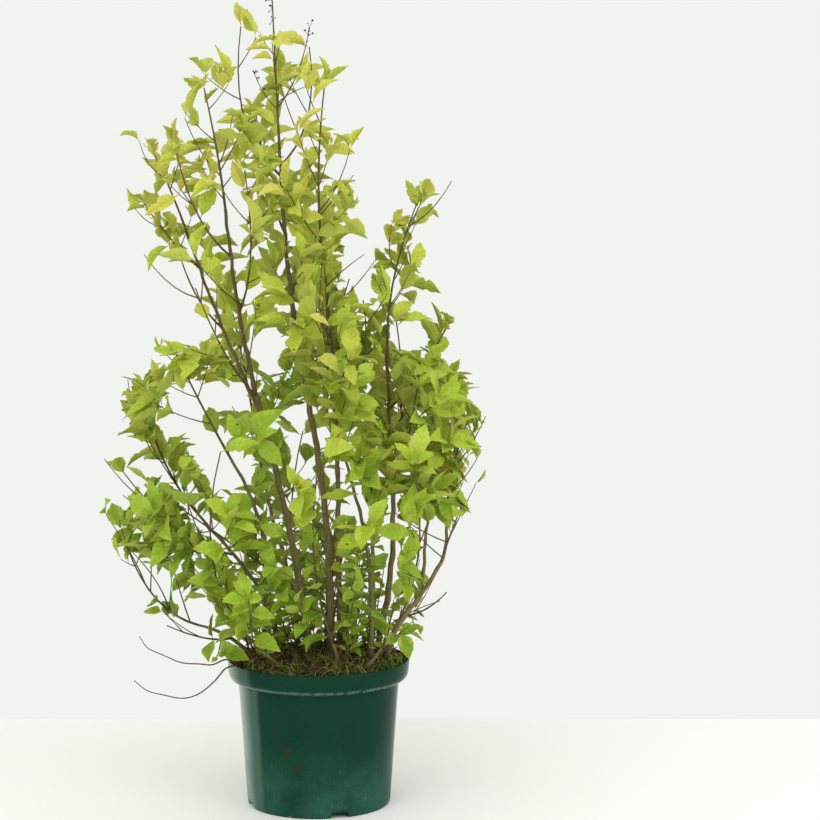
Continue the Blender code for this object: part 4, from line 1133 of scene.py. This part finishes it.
class SHRUB_OT_pot(bpy.types.Operator):
    """Turned pot shell with its stepped rim, slots and drain holes."""

    bl_idname = "shrub.pot"
    bl_label = "Pot"

    def execute(self, context):
        profile = self.profile()
        rings = turned_rings(profile[:, 0], profile[:, 1:], 160)
        pot = add_rings("pot_shell", rings, np.array([[[0, 0, FLOOR], [0, 0, 0]]], float),
                        [pot_finish(context.scene.shrub_colours)], inwards=True, sharp=32)
        cutters = self.cutters()
        for cutter in cutters:
            cut = pot.modifiers.new(cutter.name, "BOOLEAN")
            cut.operation, cut.object, cut.solver = "DIFFERENCE", cutter, "EXACT"
        graph = context.evaluated_depsgraph_get()
        cleared = bpy.data.meshes.new_from_object(pot.evaluated_get(graph))
        pot.modifiers.clear()
        pot.data = cleared
        cleared.name = pot.name
        for cutter in cutters:
            bpy.data.objects.remove(cutter)
        wear(pot, "moulded_pot", "pot")
        return {"FINISHED"}

    @staticmethod
    def profile():
        """Radius and height from the floor up the inside, over the lip, down the outside and under the foot.

        Under the rim, the shoulder is a quarter of an ellipse. The small steps are the mould's roundings.
        """
        low = POT_HEIGHT - RIM_DEPTH
        width = RIM_RADIUS - NECK_RADIUS - 0.0045
        band = [(RIM_RADIUS - 0.001 - width * (1 - math.cos(a)), low + SHOULDER_HEIGHT * (1 - math.sin(a)))
                for a in np.radians(np.linspace(0, 90, 9))]
        bead = [(RIM_RADIUS - 0.0132, low - 0.0002), (NECK_RADIUS + 0.0012, low - 0.0006),
                (NECK_RADIUS, low - 0.0016)]
        lip = [(RIM_RADIUS - WALL - 0.0004, POT_HEIGHT - 0.0012),
               (RIM_RADIUS - WALL + 0.0002, POT_HEIGHT - 0.0002),
               (RIM_RADIUS - 0.0010, POT_HEIGHT), (RIM_RADIUS - 0.0003, POT_HEIGHT - 0.0005),
               (RIM_RADIUS, POT_HEIGHT - 0.0015)]
        wall = [(NECK_RADIUS + (FOOT_RADIUS - NECK_RADIUS) * t, low - 0.002 + (0.008 - low) * t)
                for t in np.linspace(0.02, 1, 24)]
        foot = [(FOOT_RADIUS - inwards, z) for inwards, z in (
            (0.0002, 0.0040), (0.0010, 0.0018), (0.0020, 0.0006), (0.0032, 0.0), (0.0062, 0.0),
            (0.0070, 0.0008), (0.0074, FOOT_HEIGHT))]
        foot += [(CENTRE_FOOT_RADIUS + 0.003, FOOT_HEIGHT), (CENTRE_FOOT_RADIUS, 0.0003),
                 (CENTRE_FOOT_RADIUS - 0.001, 0.0)]
        inside = [(CENTRE_FOOT_RADIUS - 0.001, FLOOR), (CENTRE_FOOT_RADIUS + 0.001, FOOT_HEIGHT + FLOOR),
                  (FOOT_RADIUS - WALL - 0.001, FOOT_HEIGHT + FLOOR), (NECK_RADIUS - WALL, low - 0.001),
                  *[(r - WALL, z + WALL) for r, z in reversed(band)]]
        return np.array([*inside, *lip, *band, *bead, *wall, *foot])

    @staticmethod
    def cutters():
        """Boxes that cut the slots of the foot, and short rods that cut the drain holes."""
        cutters = []
        for slot in range(SLOT_COUNT):
            turn = math.radians(SLOT_FIRST_DEG - 90 + 360 * slot / SLOT_COUNT)
            out = np.array([math.cos(turn), math.sin(turn), 0])
            across = np.array([-math.sin(turn), math.cos(turn), 0])
            corners = [out * r + across * w + [0, 0, z]
                       for z, half in zip((-0.002, SLOT_HEIGHT), SLOT_HALF_WIDTHS)
                       for r, w in ((FOOT_RADIUS - SLOT_INWARDS, -half), (FOOT_RADIUS + SLOT_OUTWARDS, -half),
                                    (FOOT_RADIUS + SLOT_OUTWARDS, half), (FOOT_RADIUS - SLOT_INWARDS, half))]
            cutters.append(add_piece(f"slot_cutter_{slot}", np.array(corners), BOX_FACES, NO_TRIANGLES, []))
        for hole in range(DRAIN_COUNT):
            turn = math.tau * (hole + 0.5) / DRAIN_COUNT
            x, y = DRAIN_CIRCLE * math.cos(turn), DRAIN_CIRCLE * math.sin(turn)
            rod = np.array([[[x, y, FOOT_HEIGHT - 0.003], [x, y, FOOT_HEIGHT + FLOOR + 0.003]]])
            rings = tube_rings(rod, np.full((1, 2), DRAIN_RADIUS), 28)
            cutters.append(add_rings(f"drain_cutter_{hole}", *rings, []))
        return cutters


class SHRUB_OT_soil(bpy.types.Operator):
    """Root ball with its lumpy top, moss and dead strands."""

    bl_idname = "shrub.soil"
    bl_label = "Root ball"

    def execute(self, context):
        colours = context.scene.shrub_colours
        rng = np.random.default_rng(7)
        low = POT_HEIGHT - RIM_DEPTH
        base = FOOT_HEIGHT + FLOOR + 0.0003
        sides, top = 150, 56
        radius = np.concatenate([np.linspace(0.003, SOIL_RADIUS, top), [
            0.1340, 0.1318, 0.1240, NECK_RADIUS - WALL - 0.0003, FOOT_RADIUS - WALL - 0.0013, 0.02]])
        height = np.concatenate([np.full(top, SOIL_TOP), [
            0.2050, 0.1975, low + 0.0022, low - 0.001, base, base]])
        rings = turned_rings(radius, height[:, None], sides)
        rings[0, :top, :, 2] += self.lumps(rings[0, :top, :, 0], rings[0, :top, :, 1])
        ends = np.array([[[0, 0, rings[0, 0, :, 2].mean()], [0, 0, base]]])
        soil = add_rings("root_ball", rings, ends, [soil_finish()], inwards=True, sharp=50)
        wear(soil, "potting_mix", "soil")

        for name, tint, count, shortest, longest, radius, rise in STRANDS:
            tint = linear(tint) if tint.startswith("#") else tuple(getattr(colours, tint))
            strands = self.scattered(rng, count, shortest, longest, radius, rise)
            finish = plain_finish(name.replace("_", " "), tint, 0.85, 14)
            wear(add_tubes(name, strands, 3, finish), "potting_mix")
        return {"FINISHED"}

    @staticmethod
    def lumps(x, y):
        """Height of the soil's mound, a bell curve, and of its lumps, sines from 6 to 68 mm long."""
        mound = 0.009 * np.exp(-((x - 0.03) ** 2 + (y + 0.02) ** 2) / 0.075**2)
        edge = 0.0015 * ((x**2 + y**2) / SOIL_RADIUS**2) ** 4
        return (mound - edge + 0.0034 * np.sin(105 * x + 1.1) * np.cos(92 * y + 0.4)
                + 0.0018 * np.sin(230 * x - 190 * y)
                + 0.0009 * np.sin(420 * x + 510 * y + 2.0) + 0.0006 * np.cos(760 * y - 640 * x))

    def scattered(self, rng, count, shortest, longest, radius, rise):
        """Curved strands that stand in patches on the soil, each rising at about the given angle.

        A strand is foot + way * length * t, bowed aside by t (1 - t) and lowered by STRAND_SAG * length * t^2.
        """
        reach = np.sqrt(rng.uniform(0, 1, count)) * STRAND_REACH
        turn = rng.uniform(0, math.tau, count)
        x, y = reach * np.cos(turn), reach * np.sin(turn)
        patch = np.sin(46 * x + 2 + 9 * rise) * np.cos(39 * y + 5 * rise) + rng.normal(0, 0.35, count)
        keep = patch > -0.12
        x, y, turn = x[keep], y[keep], turn[keep]
        foot = np.stack([x, y, SOIL_TOP + self.lumps(x, y) - 0.0015], axis=1)
        climb = np.clip(np.abs(rng.normal(rise, STRAND_CLIMB_SPREAD, len(x))), 0.05, 1.5)
        heading = rng.uniform(0, math.tau, len(x))
        length = rng.uniform(shortest, longest, len(x))
        level = np.stack([np.cos(heading), np.sin(heading)], axis=1)
        beyond = np.hypot(*(foot[:, :2] + level * (length * np.cos(climb))[:, None]).T) > STRAND_LIMIT
        level[beyond] = -np.stack([np.cos(turn), np.sin(turn)], axis=1)[beyond]
        way = np.concatenate([level * np.cos(climb)[:, None], np.sin(climb)[:, None]], axis=1)
        t = np.linspace(0, 1, 4)[None, :, None]
        long = length[:, None, None]
        curves = foot[:, None] + way[:, None] * long * t
        curves += rng.normal(0, STRAND_BOW, (len(x), 1, 3)) * long * t * (1 - t) * 1.6
        curves[..., 2] = np.maximum(curves[..., 2] - STRAND_SAG * (long * t**2)[..., 0], SOIL_TOP - 0.002)
        return [(curve, radius, radius * 0.35) for curve in curves]


class SHRUB_OT_stems(bpy.types.Operator):
    """Stems and boughs with the relief of their bark."""

    bl_idname = "shrub.stems"
    bl_label = "Stems and boughs"

    def execute(self, context):
        colours = context.scene.shrub_colours
        low, high = tuple(colours.old_bark), tuple(colours.young_bark)
        finish = bark_finish("thin corky bark", low, high, OLD_STREAK_MM)
        rng = np.random.default_rng(context.scene.shrub_sizes.seed)
        for name, (curve, radii) in plan_limbs().items():
            kind = "bough" if name in FORKS else "stem"
            piece = self.barked(f"{kind}_{name}_bark", curve, radii, finish, rng)
            wear(piece, "bark", f"{kind}_{name}")
        return {"FINISHED"}

    @staticmethod
    def barked(name, curve, radii, finish, rng):
        """A tube whose radius is r(s) (1 + ridges + knuckles).

        Ridges are sines of the angle that drift along the stem, and knuckles are narrow bumps at the nodes.
        The middle line wanders by less than a millimetre.
        """
        sides = 20
        turn = np.linspace(0, math.tau, sides, endpoint=False)[None]
        run = np.linspace(0, len(curve) * LIMB_STEP, len(curve))[:, None]
        phases = rng.uniform(0, math.tau, 8)
        ridges = sum(0.035 / (k + 1) ** 0.4 * np.sin((2 + 2 * k) * turn + phases[k] + run * (14 + 31 * k))
                     for k in range(4))
        ridges += 0.03 * np.sin(run * 260 + phases[4]) * np.sin(3 * turn + phases[5])
        knots = np.exp(-(((run + phases[6] * 0.01) % 0.052 - 0.026) / 0.0035) ** 2)
        ridges = ridges + 0.16 * knots * (0.6 + 0.4 * np.cos(2 * turn + phases[7]))
        wander = 0.0007 * np.sin(run * 75 + phases[0]) + 0.0005 * np.sin(run * 170 + phases[1])
        fade = np.minimum(1, np.minimum(run, run[-1] - run) / 0.03)
        middle = curve + np.concatenate([wander, 0.8 * np.roll(wander, 5), 0 * wander], axis=1) * fade
        rough = (radii[:, None] * (1 + ridges))[None]
        return add_rings(name, *tube_rings(middle[None], rough, sides), [finish])


class SHRUB_OT_crown(bpy.types.Operator):
    """Shoots, side twigs, leaves and dried fruit of the whole crown."""

    bl_idname = "shrub.crown"
    bl_label = "Crown"

    def execute(self, context):
        sizes, colours = context.scene.shrub_sizes, context.scene.shrub_colours
        growth = grow_all(sizes)
        young = tuple(colours.young_bark)
        bark = bark_finish("smooth young bark", young, young, YOUNG_STREAK_MM)
        wear(add_tubes("shoots", growth.spines, 7, bark, knots=0.12), "bark")
        wear(add_tubes("side_twigs", growth.twigs, 5, bark, knots=0.10), "bark")
        finishes = [leaf_finish(f"waxy live leaf {k + 1}", tint, True) for k, tint in enumerate(LEAF_TINTS)]
        finishes += [leaf_finish(f"live leaf underside {k + 1}", tint, False)
                     for k, tint in enumerate(UNDERSIDE_TINTS)]
        rows = np.array(growth.leaves)
        middle = np.median(rows[:, 2])
        masses = sorted(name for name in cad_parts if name.startswith("foliage_"))
        heights = {name: sum(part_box(name)[k][2] for k in (0, 1)) / 2 for name in masses}
        low = foliage_piece("leaves_lower", rows[rows[:, 2] <= middle], finishes, sizes.leaf_width)
        high = foliage_piece("leaves_upper", rows[rows[:, 2] > middle], finishes, sizes.leaf_width)
        wear(low, "leaf", *[name for name in masses if heights[name] <= MASSES_SPLIT])
        wear(high, "leaf", *[name for name in masses if heights[name] > MASSES_SPLIT])
        self.fruit(growth)
        return {"FINISHED"}

    @staticmethod
    def fruit(growth):
        """Dried berries on short forked stalks near the topmost tips."""
        rng = np.random.default_rng(19)
        stalks, beads = [], []
        for tip, heading in growth.fruit:
            for _ in range(9):
                foot = tip - heading * rng.choice([0.0, 0.0, 0.012, 0.030])
                way = unit(rng.normal(0, 1, 3) + heading * 1.2)
                end = foot + way * rng.uniform(0.006, 0.012)
                stalks.append((bend_curve(foot, way, end, 4), 0.0004, 0.0003))
                beads.append((end, rng.uniform(0.0010, 0.0017)))
        stalk = plain_finish("dried fruit stalk", linear("#4c3a30"), 0.85, 8)
        wear(add_tubes("fruit_stalks", stalks, 4, stalk), "bark")
        balls = ball_rings(np.array([bead[0] for bead in beads]), np.array([bead[1] for bead in beads]))
        berry = plain_finish("dried berry skin", linear("#2c221f"), 0.6, 3)
        wear(add_rings("dried_berries", *balls, [berry]), "bark")


class SHRUB_OT_bare_twigs(bpy.types.Operator):
    """Dead twigs that hang over the left of the rim."""

    bl_idname = "shrub.bare_twigs"
    bl_label = "Bare twigs"

    def execute(self, context):
        bark = tuple(context.scene.shrub_colours.young_bark)
        steps = np.linspace(0, 1, 30)
        twigs = []
        for route in BARE_TWIGS:
            curve = smooth_route(np.array(route), steps)
            curve += np.sin(steps * 26)[:, None] * [0.0004, 0.0006, 0.0009]
            twigs.append((curve, 0.0014, 0.0006))
        finish = bark_finish("weathered dead bark", bark, bark, YOUNG_STREAK_MM)
        wear(add_tubes("bare_twigs_bark", twigs, 7, finish, knots=0.1), "bark", "bare_twigs")
        return {"FINISHED"}


class SHRUB_OT_stage(bpy.types.Operator):
    """Pale floor, soft studio light and the camera."""

    bl_idname = "shrub.stage"
    bl_label = "Stage"

    def execute(self, context):
        scene, studio = context.scene, context.scene.shrub_studio
        scene.view_settings.view_transform = "Standard"
        corners = np.array([(x, y, z) for z in (-0.02, 0.0) for x, y in (
            (-FLOOR_REACH, -FLOOR_REACH), (FLOOR_REACH, -FLOOR_REACH),
            (FLOOR_REACH, FLOOR_BACK), (-FLOOR_REACH, FLOOR_BACK))])
        floor = add_piece("floor", corners, BOX_FACES, NO_TRIANGLES, [self.floor_finish()], sharp=30)

        world = bpy.data.worlds.new("studio")
        world.use_nodes = True
        background = world.node_tree.nodes["Background"]
        background.inputs["Color"].default_value = (*linear("#f1f3ee"), 1)
        background.inputs["Strength"].default_value = studio.sky_strength
        scene.world = world
        self.light("key", KEY_PLACE, KEY_TARGET, KEY_WIDTH, studio.key_power)
        self.light("fill", FILL_PLACE, FILL_TARGET, FILL_WIDTH, studio.key_power * FILL_SHARE)

        camera = bpy.data.objects.new("camera", bpy.data.cameras.new("camera"))
        camera.data.sensor_width = 36
        camera.data.lens = studio.focal
        camera.location = CAMERA
        camera.rotation_euler = (math.radians(90 - CAMERA_DOWN_DEG), 0, 0)
        scene.collection.objects.link(camera)
        scene.camera = camera
        return {"FINISHED"}

    @staticmethod
    def floor_finish():
        """A floor rolled with matt white emulsion: no shine, a faint unevenness, and a painted falloff of
        light away from the middle.
        """
        made, add, place = new_material("matt white emulsion", 0.9, 0.2)
        # Slightly darker away from the middle: a painted falloff of light. The grain is the floor's own
        # unevenness.
        spread = add("MapRange", [add("VectorMath", [place], 1, operation="LENGTH"), 0.5, 3.5], **SMOOTH)
        grain = {"Vector": place, "Scale": 1000 / FLOOR_GRAIN_MM, "Detail": 2, "Roughness": 0.6}
        grain = add("TexNoise", grain)
        white = layered(add, "#f8f8f6", ((spread, 1, "#f5f5f3"), (grain, 0.05, "#ececea")))
        made.node_tree.links.new(white, made.node_tree.nodes["Principled BSDF"].inputs["Base Color"])
        return made

    @staticmethod
    def light(name, place, target, width, power):
        """A square soft light at a place, turned to its target."""
        lamp = bpy.data.lights.new(name, "AREA")
        lamp.shape, lamp.size, lamp.energy = "SQUARE", width, power
        item = bpy.data.objects.new(name, lamp)
        item.location = place
        item.visible_camera = False
        way = unit(np.array(target, float) - np.array(place, float))
        item.rotation_euler = (math.acos(-way[2]), 0, math.atan2(way[1], way[0]) - math.pi / 2)
        bpy.context.scene.collection.objects.link(item)


class SHRUB_PT_panel(bpy.types.Panel):
    """Lists the shrub's operators, sizes and colours."""

    bl_idname = "SHRUB_PT_panel"
    bl_label = "Potted shrub"
    bl_space_type = "VIEW_3D"
    bl_region_type = "UI"
    bl_category = "Shrub"

    def draw(self, context):
        for operator in OPERATORS:
            self.layout.operator(operator.bl_idname)
        for group in (context.scene.shrub_sizes, context.scene.shrub_colours, context.scene.shrub_studio):
            for name in group.__annotations__:
                self.layout.prop(group, name)


OPERATORS = (SHRUB_OT_pot, SHRUB_OT_soil, SHRUB_OT_stems, SHRUB_OT_crown, SHRUB_OT_bare_twigs, SHRUB_OT_stage)
GROUPS = {"shrub_sizes": ShrubSizes, "shrub_colours": ShrubColours, "shrub_studio": StudioSettings}


def register():
    """Registers the groups with their places on the scene, the operators and the panel."""
    for name, group in GROUPS.items():
        bpy.utils.register_class(group)
        setattr(bpy.types.Scene, name, bpy.props.PointerProperty(type=group))
    for kind in (*OPERATORS, SHRUB_PT_panel):
        bpy.utils.register_class(kind)


def unregister():
    """Undoes register."""
    for kind in (SHRUB_PT_panel, *reversed(OPERATORS)):
        bpy.utils.unregister_class(kind)
    for name, group in GROUPS.items():
        delattr(bpy.types.Scene, name)
        bpy.utils.unregister_class(group)


def main():
    """Builds the pieces in order."""
    register()
    bpy.ops.shrub.pot()
    bpy.ops.shrub.soil()
    bpy.ops.shrub.stems()
    bpy.ops.shrub.crown()
    bpy.ops.shrub.bare_twigs()
    bpy.ops.shrub.stage()


if __name__ == "__main__":
    main()
